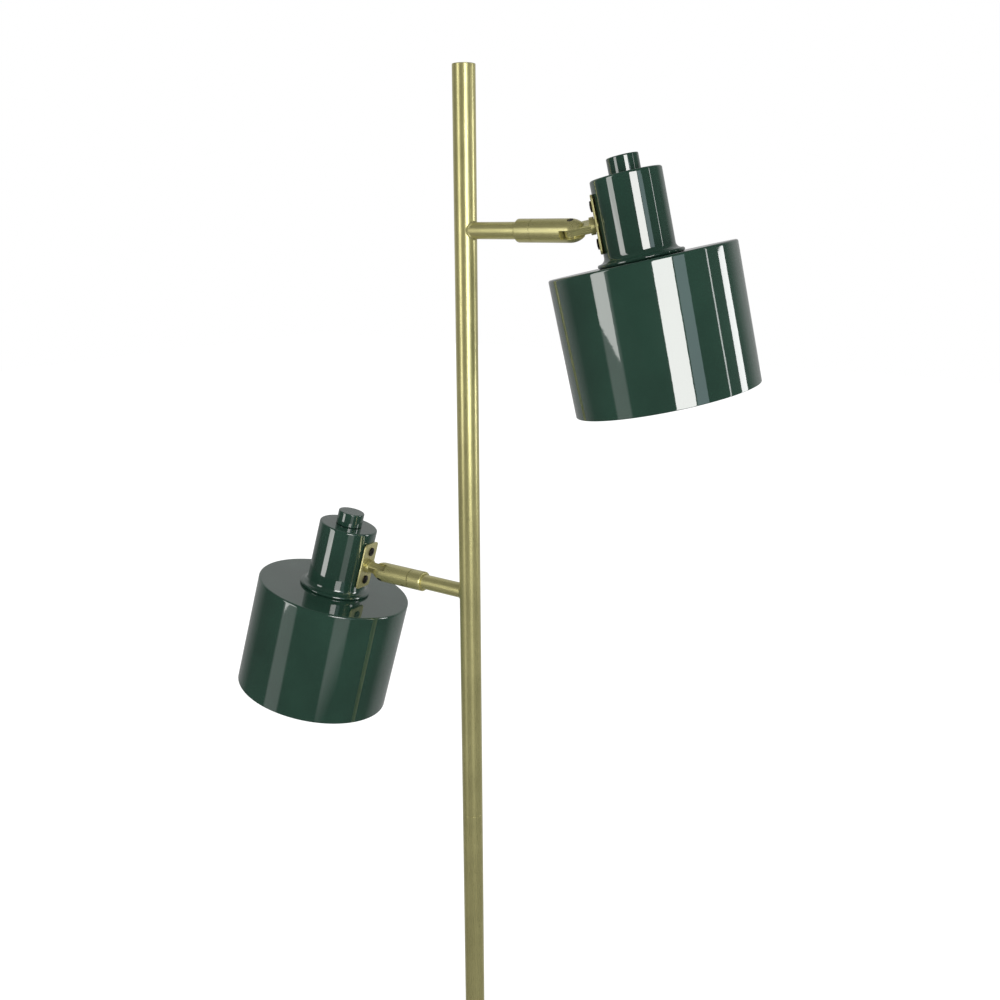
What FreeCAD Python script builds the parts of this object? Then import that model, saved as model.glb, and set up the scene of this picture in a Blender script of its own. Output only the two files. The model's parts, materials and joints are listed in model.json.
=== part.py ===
"""Two-head standing floor lamp: a brass pole on a weighted foot, two arms, two swivelling shades.

Millimetres, +Z up.  The origin is the centre of the foot's underside.  The upper arm points along
+X and the lower arm along -X.  Each head is drawn in the pose that the photograph shows.
"""

import FreeCAD, Part
import math
import os

V = FreeCAD.Vector
X, Y, Z = V(1, 0, 0), V(0, 1, 0), V(0, 0, 1)

# ---------------------------------------------------------------- driving dimensions
# Foot
FOOT_R = 125.0
FOOT_HEIGHT = 22.0
PAD_T = 2.0
COVER_T = 1.0
COVER_LIFT = 1.0
COVER_EDGE_R = 2.5
WEIGHT_GAP = 1.5
CHANNEL_W = 10.0
CHANNEL_TOP = 12.0
INLET_Z = 8.0
GROMMET_BORE_R = 3.3
GROMMET_WALL = 1.7
GROMMET_LIP = 1.5
BLOCK_SIZE = (16.0, 22.0, 9.0)
BLOCK_Y = 36.0
BLOCK_GAP = 1.5

# Pole
POLE_R = 9.0
POLE_T = 1.2
LOWER_LENGTH = 400.0
MIDDLE_LENGTH = 400.0
UPPER_LENGTH = 635.0
POLE_EDGE = 0.3
INSERT_LENGTH = 18.0
INSERT_GAP = 0.05
THREAD_R = 5.0
THREAD_GAP = 0.05
SPIGOT_REACH = 14.0
CABLE_BORE_R = 3.9
FOOT_NUT_R = 9.0
FOOT_NUT_H = 5.0
FOOT_STUD_DROP = 10.0
TOP_PLUG_LENGTH = 8.0

# Arms
ARM_R = 6.5
ARM_T = 1.0
ARM_LENGTH = 64.0
TOP_TO_UPPER_ARM = 122.0
ARM_SPACING = 301.0
BRAZE_GAP = 0.05
LEAD_HOLE_R = 4.0
COLLAR_LENGTH = 14.0
COLLAR_BEVEL = 1.0
SWIVEL_GAP = 0.4

# Sleeve with its fork, pin and tongue
PIN_PAST_ARM = 33.5
SLEEVE_R = 8.8
NOSE_R = 16.5
NOSE_BEHIND_PIN = 1.5
SPIGOT_R = 5.0
SPIGOT_BACK = 20.0
SPIGOT_LENGTH = 19.0
RUN_GAP = 0.05
GROOVE_DEPTH = 0.8
GRUB_R = 1.5
GRUB_SIDE_GAP = 0.15
GRUB_INSET = 0.4
GRUB_AT = 6.0
SLOT_W = 6.8
EYE_GAP = 0.5
PIN_R = 2.5
PIN_SEAT_GAP = 0.02
PIN_INSET = 0.5
TONGUE_T = 6.4
TONGUE_W = 12.0
BOSS_R = 6.5
BOSS_T = 3.8
STEM_BORE_R = 2.2
FACE_GAP = 0.2
SWIVEL_NUT_R = 7.5
SWIVEL_NUT_H = 4.0

# Plate on the neck
PLATE_T = 1.6
PLATE_W = 22.0
PLATE_H = 43.0
PLATE_CORNER_R = 3.0
PLATE_EDGE = 0.4
SCREW_SPACING = 27.2
SCREW_R = 1.95
SCREW_HOLE_GAP = 0.2
SCREW_SEAT_GAP = 0.05
SCREW_HEAD_R = 4.0
SCREW_HEAD_H = 1.6
SCREW_PAST_BRACKET = 0.8
RECESS_W = 0.9
RECESS_L = 4.4
RECESS_DEPTH = 0.9

# Head: neck, shade, switch, lampholder and bulb
HEAD_REACH = 45.2
PIN_ABOVE_SHADE = 31.5
NECK_R = 26.5
NECK_T = 1.2
NECK_HEIGHT = 62.3
NECK_EDGE_R = 1.5
FLANGE_R = 32.3
FOOT_BEAD_R = 1.5
SHADE_R = 70.0
SHADE_HEIGHT = 104.0
SHADE_T = 0.8
SHADE_EDGE_R = 1.6
HEM_HEIGHT = 3.0
HEM_T = 0.8
KNOB_R = 11.8
KNOB_HEIGHT = 12.7
KNOB_GAP = 0.3
KNOB_EDGE_R = 0.8
KNOB_RECESS_R = 6.5
KNOB_RECESS = 3.0
SPINDLE_R = 3.0
SPINDLE_SEAT_GAP = 0.02
SPINDLE_IN_KNOB = 6.0
SPINDLE_IN_SWITCH = 10.0
SWITCH_R = 10.0
SWITCH_HEIGHT = 15.0
BUSHING_R = 4.9
BUSHING_OUT = 2.2
BUSHING_GAP = 0.2
SWITCH_NUT_R = 6.0
SWITCH_NUT_H = 1.6
BRACKET_T = 2.0
BRACKET_W = 18.0
BRACKET_H = 38.0
BRACKET_INSET = 4.5
SHELF_UNDER_NECK_TOP = 21.3
SHELF_R = 9.0
SPACER_GAP = 0.05
NIPPLE_R = 4.9
NIPPLE_BORE_R = 3.5
NIPPLE_UP = 3.6
NIPPLE_DOWN = 5.0
HOLDER_R = 14.0
HOLDER_T = 2.0
HOLDER_CAP_LENGTH = 20.0
HOLDER_CAP_TOP = 4.0
HOLDER_CAP_EDGE_R = 4.0
HOLDER_BELOW_SHADE = 12.0
HOLDER_SHOULDER_R = 17.5
HOLDER_SHOULDER_T = 2.5
HOLDER_HOLE_GAP = 0.15
HOLDER_BORE_R = 7.1
HOLDER_BORE_TOP = 12.0
SHADE_RING_R = 19.0
SHADE_RING_H = 7.0
RING_GAP = 0.05
BULB_CAP_R = 6.85
BULB_CAP_LENGTH = 23.0
BULB_CONTACT_R = 3.5
BULB_CONTACT_H = 2.0
BULB_R = 22.5
BULB_LENGTH = 78.0
BULB_GLASS_T = 0.9
BULB_NECK_R = 5.9
BULB_SEAT = 2.0

# Leads inside the pole
LEAD_R = 1.6
LEAD_OFFSET = 1.9
LEAD_Z = 4.5
LEAD_BEND_R = 8.0
LEAD_ARM_BEND_R = 10.0
LEAD_END = 60.0

# Poses of the heads in the photograph, in degrees: sleeve about the arm, fork, head about its stem
UPPER_POSE = (24.0, 32.0, -22.5)
LOWER_POSE = (50.5, 17.0, -43.0)

# ---------------------------------------------------------------- places worked out from them
POLE_BORE_R = POLE_R - POLE_T
INSERT_R = POLE_BORE_R - INSERT_GAP
STUD_R = THREAD_R - THREAD_GAP
LOWER_TOP = FOOT_HEIGHT + LOWER_LENGTH
MIDDLE_TOP = LOWER_TOP + MIDDLE_LENGTH
POLE_TOP = MIDDLE_TOP + UPPER_LENGTH
UPPER_ARM_Z = POLE_TOP - TOP_TO_UPPER_ARM
LOWER_ARM_Z = UPPER_ARM_Z - ARM_SPACING
WEIGHT_TOP = FOOT_HEIGHT - COVER_T
WEIGHT_R = FOOT_R - COVER_T - WEIGHT_GAP
NUT_TOP = WEIGHT_TOP - 3.5
STUD_FOOT = FOOT_HEIGHT - FOOT_STUD_DROP
COLLAR_START = ARM_LENGTH - COLLAR_LENGTH
PIN_REACH = ARM_LENGTH + PIN_PAST_ARM
SLEEVE_START = ARM_LENGTH + SWIVEL_GAP
TONGUE_R = TONGUE_W / 2
SLOT_DEPTH = TONGUE_R + EYE_GAP
PLATE_FACE = HEAD_REACH - NECK_R - PLATE_T
BRACKET_FACE = HEAD_REACH - NECK_R + BRACKET_INSET
BRACKET_BACK = BRACKET_FACE + BRACKET_T
SHADE_TOP = -PIN_ABOVE_SHADE
NECK_TOP = SHADE_TOP + NECK_HEIGHT
SWITCH_TOP = NECK_TOP - NECK_T
SHELF_TOP = SWITCH_TOP - SHELF_UNDER_NECK_TOP + BRACKET_T
SHELF_UNDERSIDE = SHELF_TOP - BRACKET_T
KNOB_FOOT = NECK_TOP + KNOB_GAP
KNOB_TOP = NECK_TOP + KNOB_HEIGHT
SEAM_Z = SHELF_UNDERSIDE - HOLDER_CAP_LENGTH
HOLDER_END = SHADE_TOP - HOLDER_BELOW_SHADE
BORE_TOP = SHADE_TOP + HOLDER_BORE_TOP


# ---------------------------------------------------------------- small helpers
def rod(radius, length, start=V(0, 0, 0), along=Z):
    """A solid cylinder that starts at a point and runs along a direction."""
    return Part.makeCylinder(radius, length, start, along)


def tube(outer_r, inner_r, length, start=V(0, 0, 0), along=Z):
    """A round tube; its bore runs right through."""
    return rod(outer_r, length, start, along).cut(rod(inner_r, length, start, along))


def block(x0, x1, y0, y1, z0, z1):
    """A box between two corners."""
    return Part.makeBox(x1 - x0, y1 - y0, z1 - z0, V(x0, y0, z0))


def turned(outline, axis_x=0.0):
    """Turn an outline about an upright axis.  Points are (radius, z); an arc is (middle, end)."""
    def place(point):
        return V(axis_x + point[0], 0, point[1])

    edges = []
    here = outline[0]
    for step in outline[1:] + [outline[0]]:
        if isinstance(step[0], tuple):
            middle, end = step
            edges.append(Part.Arc(place(here), place(middle), place(end)).toShape())
        else:
            end = step
            if end != here:
                edges.append(Part.LineSegment(place(here), place(end)).toShape())
        here = end
    face = Part.Face(Part.Wire(edges))
    return face.revolve(V(axis_x, 0, 0), Z, 360)


def corner(centre, radius, degrees):
    """A point on a circle in an outline."""
    angle = math.radians(degrees)
    return (centre[0] + radius * math.cos(angle), centre[1] + radius * math.sin(angle))


def cap_edges(solid, axis, places):
    """The round edges of a solid that lie square to an axis at the given places along it."""
    found = []
    for edge in solid.Edges:
        box = edge.BoundBox
        low = V(box.XMin, box.YMin, box.ZMin).dot(axis)
        high = V(box.XMax, box.YMax, box.ZMax).dot(axis)
        if high - low < 1e-4 and any(abs(low - place) < 1e-4 for place in places):
            found.append(edge)
    return found


def outermost(edges, count=1):
    """The longest edges of a list."""
    return sorted(edges, key=lambda edge: edge.Length)[-count:]


def placed(shape, placement):
    """A copy of a shape, set in its place."""
    copy = shape.copy()
    copy.Placement = placement.multiply(copy.Placement)
    return copy


def group(shapes):
    """Several separate solids in one node."""
    return Part.makeCompound(shapes)


def turn(axis, degrees):
    """A placement that only turns."""
    return FreeCAD.Placement(V(0, 0, 0), FreeCAD.Rotation(axis, degrees))


def save(name, shape):
    """Write one node and report its volume."""
    shape.exportStep(os.path.join("parts", name + ".step"))
    print(f"{name:24s} {len(shape.Solids)} solid  {shape.Volume:12.1f} mm3")


# ---------------------------------------------------------------- foot
def foot_pad():
    """Felt disc that the lamp stands on."""
    return rod(WEIGHT_R, PAD_T)


def foot_weight():
    """Cast disc with a well for the nut, a pocket for the block and a channel to the inlet."""
    body = rod(WEIGHT_R, WEIGHT_TOP - PAD_T, V(0, 0, PAD_T))
    stud_hole = rod(STUD_R + 2 * THREAD_GAP, WEIGHT_TOP, V(0, 0, 0))
    well = rod(FOOT_NUT_R + 2.0, NUT_TOP - PAD_T, V(0, 0, PAD_T))
    half = CHANNEL_W / 2
    channel = block(-half, half, 0, FOOT_R, PAD_T, CHANNEL_TOP + PAD_T)
    width, length, height = BLOCK_SIZE
    side = width / 2 + BLOCK_GAP
    pocket = block(-side, side, BLOCK_Y - BLOCK_GAP, BLOCK_Y + length + BLOCK_GAP,
                   PAD_T, PAD_T + height + 2 * BLOCK_GAP)
    return body.cut(stud_hole.fuse([well, channel, pocket]))


def foot_cover():
    """Spun brass-finished cover over the weight, with holes for the stud and the cord."""
    outer = rod(FOOT_R, FOOT_HEIGHT - COVER_LIFT, V(0, 0, COVER_LIFT))
    rim = outermost(cap_edges(outer, Z, [FOOT_HEIGHT]))
    outer = outer.makeFillet(COVER_EDGE_R, rim)
    inner = rod(FOOT_R - COVER_T, WEIGHT_TOP - COVER_LIFT, V(0, 0, COVER_LIFT))
    inner = inner.makeFillet(COVER_EDGE_R - COVER_T, outermost(cap_edges(inner, Z, [WEIGHT_TOP])))
    stud_hole = rod(STUD_R + 2 * THREAD_GAP, COVER_T, V(0, 0, WEIGHT_TOP))
    inlet = rod(GROMMET_BORE_R + GROMMET_WALL, 2 * COVER_EDGE_R, V(0, FOOT_R - COVER_EDGE_R, INLET_Z), Y)
    return outer.cut(inner).cut(stud_hole).cut(inlet)


def cord_grommet():
    """Rubber ring that lines the cord's hole in the cover; its lips hold the wall between them."""
    neck_r = GROMMET_BORE_R + GROMMET_WALL - INSERT_GAP
    lip_r = neck_r + GROMMET_LIP
    inside = math.sqrt((FOOT_R - COVER_T) ** 2 - lip_r ** 2) - INSERT_GAP
    inner_lip = rod(lip_r, GROMMET_LIP / 2, V(0, inside - GROMMET_LIP / 2, INLET_Z), Y)
    outer_lip = rod(lip_r, GROMMET_LIP, V(0, FOOT_R + INSERT_GAP, INLET_Z), Y)
    neck = rod(neck_r, FOOT_R + INSERT_GAP - inside, V(0, inside, INLET_Z), Y)
    bore = rod(GROMMET_BORE_R, 4 * GROMMET_LIP, V(0, inside - GROMMET_LIP, INLET_Z), Y)
    return neck.fuse([inner_lip, outer_lip]).cut(bore)


def foot_stud():
    """Hollow threaded stud that ties the pole to the foot."""
    length = FOOT_STUD_DROP + SPIGOT_REACH
    return tube(STUD_R, CABLE_BORE_R, length, V(0, 0, STUD_FOOT))


def foot_nut():
    """Hexagon nut in the weight's well."""
    foot = NUT_TOP - FOOT_NUT_H
    corners = [V(FOOT_NUT_R * math.cos(math.radians(60 * i)), FOOT_NUT_R * math.sin(math.radians(60 * i)), foot)
               for i in range(7)]
    body = Part.Face(Part.makePolygon(corners)).extrude(V(0, 0, FOOT_NUT_H))
    return body.cut(rod(THREAD_R, FOOT_NUT_H, V(0, 0, foot)))


def terminal_block():
    """Three-way block where the two leads meet the cord."""
    width, length, height = BLOCK_SIZE
    foot = PAD_T + BLOCK_GAP / 2
    body = block(-width / 2, width / 2, BLOCK_Y, BLOCK_Y + length, foot, foot + height)
    wells = []
    for side in (-1, 0, 1):
        for end in (0.25, 0.75):
            centre = V(side * width * 0.3, BLOCK_Y + length * end, foot + height * 0.55)
            wells.append(rod(SCREW_R, height, centre))
    return body.cut(wells[0].fuse(wells[1:]))


# ---------------------------------------------------------------- pole
def pole_section(foot, length):
    """A plain tube with lightly broken edges."""
    body = tube(POLE_R, POLE_BORE_R, length, V(0, 0, foot))
    ends = cap_edges(body, Z, [foot, foot + length])
    return body.makeChamfer(POLE_EDGE, outermost(ends, 2))


def pole_upper():
    """The top tube, with a hole in its wall behind each arm for the lead."""
    body = pole_section(MIDDLE_TOP, UPPER_LENGTH)
    right = rod(LEAD_HOLE_R, POLE_R, V(0, 0, UPPER_ARM_Z), X)
    left = rod(LEAD_HOLE_R, POLE_R, V(0, 0, LOWER_ARM_Z), -X)
    return body.cut(right).cut(left)


def pole_sockets():
    """Threaded inserts in the lower end of each tube."""
    return group([tube(INSERT_R, THREAD_R, INSERT_LENGTH, V(0, 0, foot))
                  for foot in (FOOT_HEIGHT, LOWER_TOP, MIDDLE_TOP)])


def pole_spigots():
    """Inserts in the upper end of the two lower tubes, with a hollow stud for the next tube."""
    spigots = []
    for top in (LOWER_TOP, MIDDLE_TOP):
        body = rod(INSERT_R, INSERT_LENGTH, V(0, 0, top - INSERT_LENGTH))
        stud = rod(STUD_R, SPIGOT_REACH + INSERT_LENGTH, V(0, 0, top - INSERT_LENGTH))
        bore = rod(CABLE_BORE_R, SPIGOT_REACH + INSERT_LENGTH, V(0, 0, top - INSERT_LENGTH))
        spigots.append(body.fuse(stud).cut(bore))
    return group(spigots)


def pole_top_plug():
    """Flush plug that closes the top of the pole."""
    body = rod(INSERT_R, TOP_PLUG_LENGTH, V(0, 0, POLE_TOP - TOP_PLUG_LENGTH))
    return body.makeChamfer(POLE_EDGE, cap_edges(body, Z, [POLE_TOP]))


# ---------------------------------------------------------------- arms
def arm_tube():
    """One arm along +X at its own height, its end coped to the pole."""
    body = tube(ARM_R, ARM_R - ARM_T, ARM_LENGTH, V(0, 0, 0), X)
    return body.cut(rod(POLE_R + BRAZE_GAP, 4 * ARM_R, V(0, 0, -2 * ARM_R)))


def arm_spigot():
    """Hollow spigot fixed in the arm's end; the sleeve turns on it and its groove keeps the sleeve."""
    seated = rod(ARM_R - ARM_T - INSERT_GAP, SPIGOT_BACK, V(ARM_LENGTH - SPIGOT_BACK, 0, 0), X)
    nose = rod(SPIGOT_R, SPIGOT_LENGTH, V(ARM_LENGTH, 0, 0), X)
    groove_start = SLEEVE_START + GRUB_AT - GRUB_R - GRUB_SIDE_GAP
    groove = tube(2 * SPIGOT_R, SPIGOT_R - GROOVE_DEPTH, 2 * (GRUB_R + GRUB_SIDE_GAP), V(groove_start, 0, 0), X)
    bore = rod(STEM_BORE_R + 0.8, ARM_LENGTH, V(ARM_LENGTH - SPIGOT_BACK, 0, 0), X)
    return seated.fuse(nose).cut(groove).cut(bore)


def arm_collar():
    """Fixed collar round the arm's end, as thick as the sleeve, with a bevelled back edge."""
    body = tube(SLEEVE_R, ARM_R + RUN_GAP, COLLAR_LENGTH, V(COLLAR_START, 0, 0), X)
    back = outermost(cap_edges(body, X, [COLLAR_START]))
    return body.makeChamfer(COLLAR_BEVEL, back)


# ---------------------------------------------------------------- sleeve, pin and tongue
# These are drawn about the knuckle pin, which is the origin, with the pin along Z.
def sleeve():
    """Turning sleeve that ends in a fork; its nose is rounded like a bullet and about the pin."""
    back = SLEEVE_START - PIN_REACH
    nose = (SLEEVE_R - NOSE_R, -NOSE_BEHIND_PIN)
    nose_turn = math.degrees(math.asin((SLEEVE_R + NOSE_BEHIND_PIN) / NOSE_R))
    body = turned([
        (0.0, back), (SLEEVE_R, back), (SLEEVE_R, -NOSE_BEHIND_PIN),
        (corner(nose, NOSE_R, nose_turn / 2), corner(nose, NOSE_R, nose_turn)), (0.0, SLEEVE_R),
    ])
    body.rotate(V(0, 0, 0), Y, 90)
    kept = block(2 * back, 0, -2 * SLEEVE_R, 2 * SLEEVE_R, -2 * SLEEVE_R, 2 * SLEEVE_R)
    kept = kept.fuse(rod(SLEEVE_R, 4 * SLEEVE_R, V(0, 0, -2 * SLEEVE_R)))
    body = body.common(kept)
    slot = block(-SLOT_DEPTH, 2 * SLEEVE_R, -2 * SLEEVE_R, 2 * SLEEVE_R, -SLOT_W / 2, SLOT_W / 2)
    spigot_end = ARM_LENGTH + SPIGOT_LENGTH + SWIVEL_GAP - PIN_REACH
    spigot_bore = rod(SPIGOT_R + RUN_GAP, spigot_end - back, V(back, 0, 0), X)
    lead_bore = rod(STEM_BORE_R + 0.8, -back - SLOT_DEPTH, V(back, 0, 0), X)
    pin_hole = rod(PIN_R + PIN_SEAT_GAP, 2 * SLEEVE_R, V(0, 0, -SLEEVE_R))
    grub_hole = rod(GRUB_R + PIN_SEAT_GAP, SLEEVE_R, V(back + GRUB_AT, 0, 0), -Z)
    for tool in (slot, spigot_bore, lead_bore, pin_hole, grub_hole):
        body = body.cut(tool)
    return body


def grub_screw():
    """Set screw whose tip runs in the spigot's groove."""
    tip = SPIGOT_R - GROOVE_DEPTH + RUN_GAP
    length = SLEEVE_R - GRUB_INSET - tip
    body = rod(GRUB_R, length, V(SLEEVE_START - PIN_REACH + GRUB_AT, 0, -tip), -Z)
    socket = rod(GRUB_R / 2, GRUB_R, V(SLEEVE_START - PIN_REACH + GRUB_AT, 0, -tip - length), Z)
    return body.cut(socket)


def knuckle_pin():
    """Pin through the fork, with a screwdriver slot in one end."""
    half = SLEEVE_R - PIN_INSET
    body = rod(PIN_R, 2 * half, V(0, 0, -half))
    slot = block(-2 * PIN_R, 2 * PIN_R, -RECESS_W / 2, RECESS_W / 2, half - RECESS_DEPTH, half)
    return body.cut(slot)


def tongue():
    """Flat tongue on the pin, round boss, and hollow threaded stem through plate and neck."""
    boss_back = PLATE_FACE - FACE_GAP - BOSS_T
    eye = rod(TONGUE_R, TONGUE_T, V(0, 0, -TONGUE_T / 2))
    flat = block(0, boss_back, -TONGUE_R, TONGUE_R, -TONGUE_T / 2, TONGUE_T / 2)
    flat = flat.common(rod(BOSS_R, boss_back, V(0, 0, 0), X))
    boss = rod(BOSS_R, BOSS_T, V(boss_back, 0, 0), X)
    boss = boss.makeChamfer(PLATE_EDGE, cap_edges(boss, X, [boss_back]))
    stem_end = BRACKET_BACK + FACE_GAP + SWIVEL_NUT_H + THREAD_GAP
    stem = rod(STUD_R, stem_end - boss_back, V(boss_back, 0, 0), X)
    body = eye.fuse([flat, boss, stem])
    pin_hole = rod(PIN_R + RUN_GAP, TONGUE_T, V(0, 0, -TONGUE_T / 2))
    window_x = PIN_R + 2 * STEM_BORE_R
    bore = rod(STEM_BORE_R, stem_end - window_x, V(window_x, 0, 0), X)
    window = rod(STEM_BORE_R, TONGUE_T, V(window_x, 0, -TONGUE_T / 2))
    for tool in (pin_hole, bore, window):
        body = body.cut(tool)
    return body


def swivel_nut():
    """Nut on the stem, inside the neck."""
    start = BRACKET_BACK + FACE_GAP
    body = rod(SWIVEL_NUT_R, SWIVEL_NUT_H, V(start, 0, 0), X)
    for side in range(3):
        flat_dir = V(0, math.cos(math.radians(60 * side)), math.sin(math.radians(60 * side)))
        slab = Part.makeBox(SWIVEL_NUT_H, 4 * SWIVEL_NUT_R, 1.74 * SWIVEL_NUT_R,
                            V(start, -2 * SWIVEL_NUT_R, -0.87 * SWIVEL_NUT_R))
        slab.rotate(V(0, 0, 0), X, math.degrees(math.atan2(flat_dir.z, flat_dir.y)))
        body = body.common(slab)
    return body.cut(rod(THREAD_R, SWIVEL_NUT_H, V(start, 0, 0), X))


# ---------------------------------------------------------------- head
# Drawn about the same origin: +X runs from the pin to the head and +Z up the head's own axis,
# which stands at x = HEAD_REACH.  The shade's top is at z = SHADE_TOP.
def screw_places():
    """Heights of the two plate screws."""
    return (-SCREW_SPACING / 2, SCREW_SPACING / 2)


def through_x(radius, x0, x1, z=0.0):
    """A round cutter along X."""
    return rod(radius, x1 - x0, V(x0, 0, z), X)


def mount_plate():
    """Brass plate on the side of the neck: one stem hole and two screw holes."""
    x0, x1 = PLATE_FACE, PLATE_FACE + PLATE_T
    body = block(x0, x1, -PLATE_W / 2, PLATE_W / 2, -PLATE_H / 2, PLATE_H / 2)
    upright = [edge for edge in body.Edges if edge.BoundBox.XLength > PLATE_T / 2]
    body = body.makeFillet(PLATE_CORNER_R, upright)
    body = body.makeChamfer(PLATE_EDGE, cap_edges(body, X, [x0]))
    body = body.cut(through_x(THREAD_R, x0, x1))
    for z in screw_places():
        body = body.cut(through_x(SCREW_R + SCREW_HOLE_GAP, x0, x1, z))
    return body


def plate_screws():
    """Two pan-head screws through plate, neck wall and spacer into the bracket."""
    screws = []
    end = BRACKET_BACK + SCREW_PAST_BRACKET
    for z in screw_places():
        head = rod(SCREW_HEAD_R, SCREW_HEAD_H, V(PLATE_FACE - SCREW_HEAD_H, 0, z), X)
        head = head.makeFillet(SCREW_HEAD_H * 0.6, cap_edges(head, X, [PLATE_FACE - SCREW_HEAD_H]))
        shank = through_x(SCREW_R, PLATE_FACE, end, z)
        front = PLATE_FACE - SCREW_HEAD_H
        cross_z = block(front, front + RECESS_DEPTH, -RECESS_W / 2, RECESS_W / 2,
                        z - RECESS_L / 2, z + RECESS_L / 2)
        cross_y = block(front, front + RECESS_DEPTH, -RECESS_L / 2, RECESS_L / 2,
                        z - RECESS_W / 2, z + RECESS_W / 2)
        screws.append(head.fuse(shank).cut(cross_z).cut(cross_y))
    return group(screws)


def neck():
    """Spun cup with a flared foot and a rolled bead, a hole in its top for the switch and three in its side."""
    foot, top = SHADE_TOP, NECK_TOP
    bead_x = FLANGE_R - FOOT_BEAD_R
    bead_top = foot + 2 * FOOT_BEAD_R
    flare_r = bead_x - NECK_R
    centre = (bead_x, bead_top + flare_r)
    hollow = corner(centre, flare_r + NECK_T, 225)
    edge_centre = (NECK_R - NECK_EDGE_R, top - NECK_EDGE_R)
    inner_edge = NECK_EDGE_R - NECK_T
    inner_centre = edge_centre
    hole_r = BUSHING_R + BUSHING_GAP
    outline = [
        (bead_x, foot), (corner((bead_x, foot + FOOT_BEAD_R), FOOT_BEAD_R, 0), (bead_x, bead_top)),
        (corner(centre, flare_r, 225), (NECK_R, centre[1])),
        (NECK_R, edge_centre[1]),
        (corner(edge_centre, NECK_EDGE_R, 45), (edge_centre[0], top)),
        (hole_r, top), (hole_r, top - NECK_T), (inner_centre[0], top - NECK_T),
        (corner(inner_centre, inner_edge, 45), (NECK_R - NECK_T, inner_centre[1])),
        (NECK_R - NECK_T, centre[1]),
        (corner(centre, flare_r + NECK_T, 202.5), hollow), (hollow[0], foot),
    ]
    body = turned(outline, HEAD_REACH)
    x0, x1 = HEAD_REACH - NECK_R - 1.0, HEAD_REACH - NECK_R + 2 * NECK_T
    body = body.cut(through_x(THREAD_R + SCREW_HOLE_GAP, x0, x1))
    for z in screw_places():
        body = body.cut(through_x(SCREW_R + SCREW_HOLE_GAP, x0, x1, z))
    return body


def wall_spacer():
    """Block that fills the space between the neck's curved wall and the flat bracket."""
    x1 = BRACKET_FACE
    half_w, half_h = BRACKET_W / 2, BRACKET_H / 2
    body = block(0, x1, -half_w, half_w, -half_h, half_h)
    body = body.common(rod(NECK_R - NECK_T - SPACER_GAP, BRACKET_H, V(HEAD_REACH, 0, -half_h)))
    body = body.cut(through_x(THREAD_R + SCREW_HOLE_GAP, 0, x1))
    for z in screw_places():
        body = body.cut(through_x(SCREW_R + SCREW_HOLE_GAP, 0, x1, z))
    return body


def holder_bracket():
    """Upright leg behind the wall and a shelf that carries the lampholder's nipple."""
    half_w, half_h = BRACKET_W / 2, BRACKET_H / 2
    leg = block(BRACKET_FACE, BRACKET_BACK, -half_w, half_w, -half_h, half_h)
    shelf = block(BRACKET_FACE, HEAD_REACH, -SHELF_R, SHELF_R, SHELF_UNDERSIDE, SHELF_TOP)
    end = rod(SHELF_R, BRACKET_T, V(HEAD_REACH, 0, SHELF_UNDERSIDE))
    body = leg.fuse([shelf, end])
    body = body.cut(rod(NIPPLE_R + THREAD_GAP, BRACKET_T, V(HEAD_REACH, 0, SHELF_UNDERSIDE)))
    body = body.cut(through_x(THREAD_R + SCREW_HOLE_GAP, BRACKET_FACE, BRACKET_BACK))
    for z in screw_places():
        body = body.cut(through_x(SCREW_R + SCREW_SEAT_GAP, BRACKET_FACE, BRACKET_BACK, z))
    return body


def switch():
    """Rotary switch under the neck's top; its bushing stands through the hole."""
    axis = HEAD_REACH
    body = rod(SWITCH_R, SWITCH_HEIGHT, V(axis, 0, SWITCH_TOP - SWITCH_HEIGHT))
    bushing = rod(BUSHING_R, NECK_T + BUSHING_OUT, V(axis, 0, SWITCH_TOP))
    deep = SPINDLE_IN_SWITCH + NECK_T + BUSHING_OUT
    bore = rod(SPINDLE_R + RUN_GAP, deep, V(axis, 0, SWITCH_TOP - SPINDLE_IN_SWITCH))
    return body.fuse(bushing).cut(bore)


def switch_nut():
    """Thin ring nut on the bushing, hidden in the knob's recess."""
    return tube(SWITCH_NUT_R, BUSHING_R + THREAD_GAP, SWITCH_NUT_H, V(HEAD_REACH, 0, NECK_TOP))


def knob():
    """Round metal knob with eased edges, hollow below for the bushing."""
    axis = HEAD_REACH
    body = rod(KNOB_R, KNOB_TOP - KNOB_FOOT, V(axis, 0, KNOB_FOOT))
    body = body.makeFillet(KNOB_EDGE_R, cap_edges(body, Z, [KNOB_TOP]))
    body = body.makeChamfer(KNOB_EDGE_R / 2, outermost(cap_edges(body, Z, [KNOB_FOOT])))
    recess = rod(KNOB_RECESS_R, KNOB_RECESS, V(axis, 0, KNOB_FOOT))
    seat = rod(SPINDLE_R + SPINDLE_SEAT_GAP, KNOB_RECESS + SPINDLE_IN_KNOB, V(axis, 0, KNOB_FOOT))
    return body.cut(recess.fuse(seat))


def knob_spindle():
    """Spindle that joins knob and switch."""
    start = SWITCH_TOP - SPINDLE_IN_SWITCH + SWIVEL_GAP
    end = KNOB_FOOT + KNOB_RECESS + SPINDLE_IN_KNOB
    return rod(SPINDLE_R, end - start, V(HEAD_REACH, 0, start))


def holder_nipple():
    """Hollow threaded nipple between bracket and lampholder."""
    foot = SHELF_UNDERSIDE - NIPPLE_DOWN
    return tube(NIPPLE_R, NIPPLE_BORE_R, NIPPLE_DOWN + NIPPLE_UP, V(HEAD_REACH, 0, foot))


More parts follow.
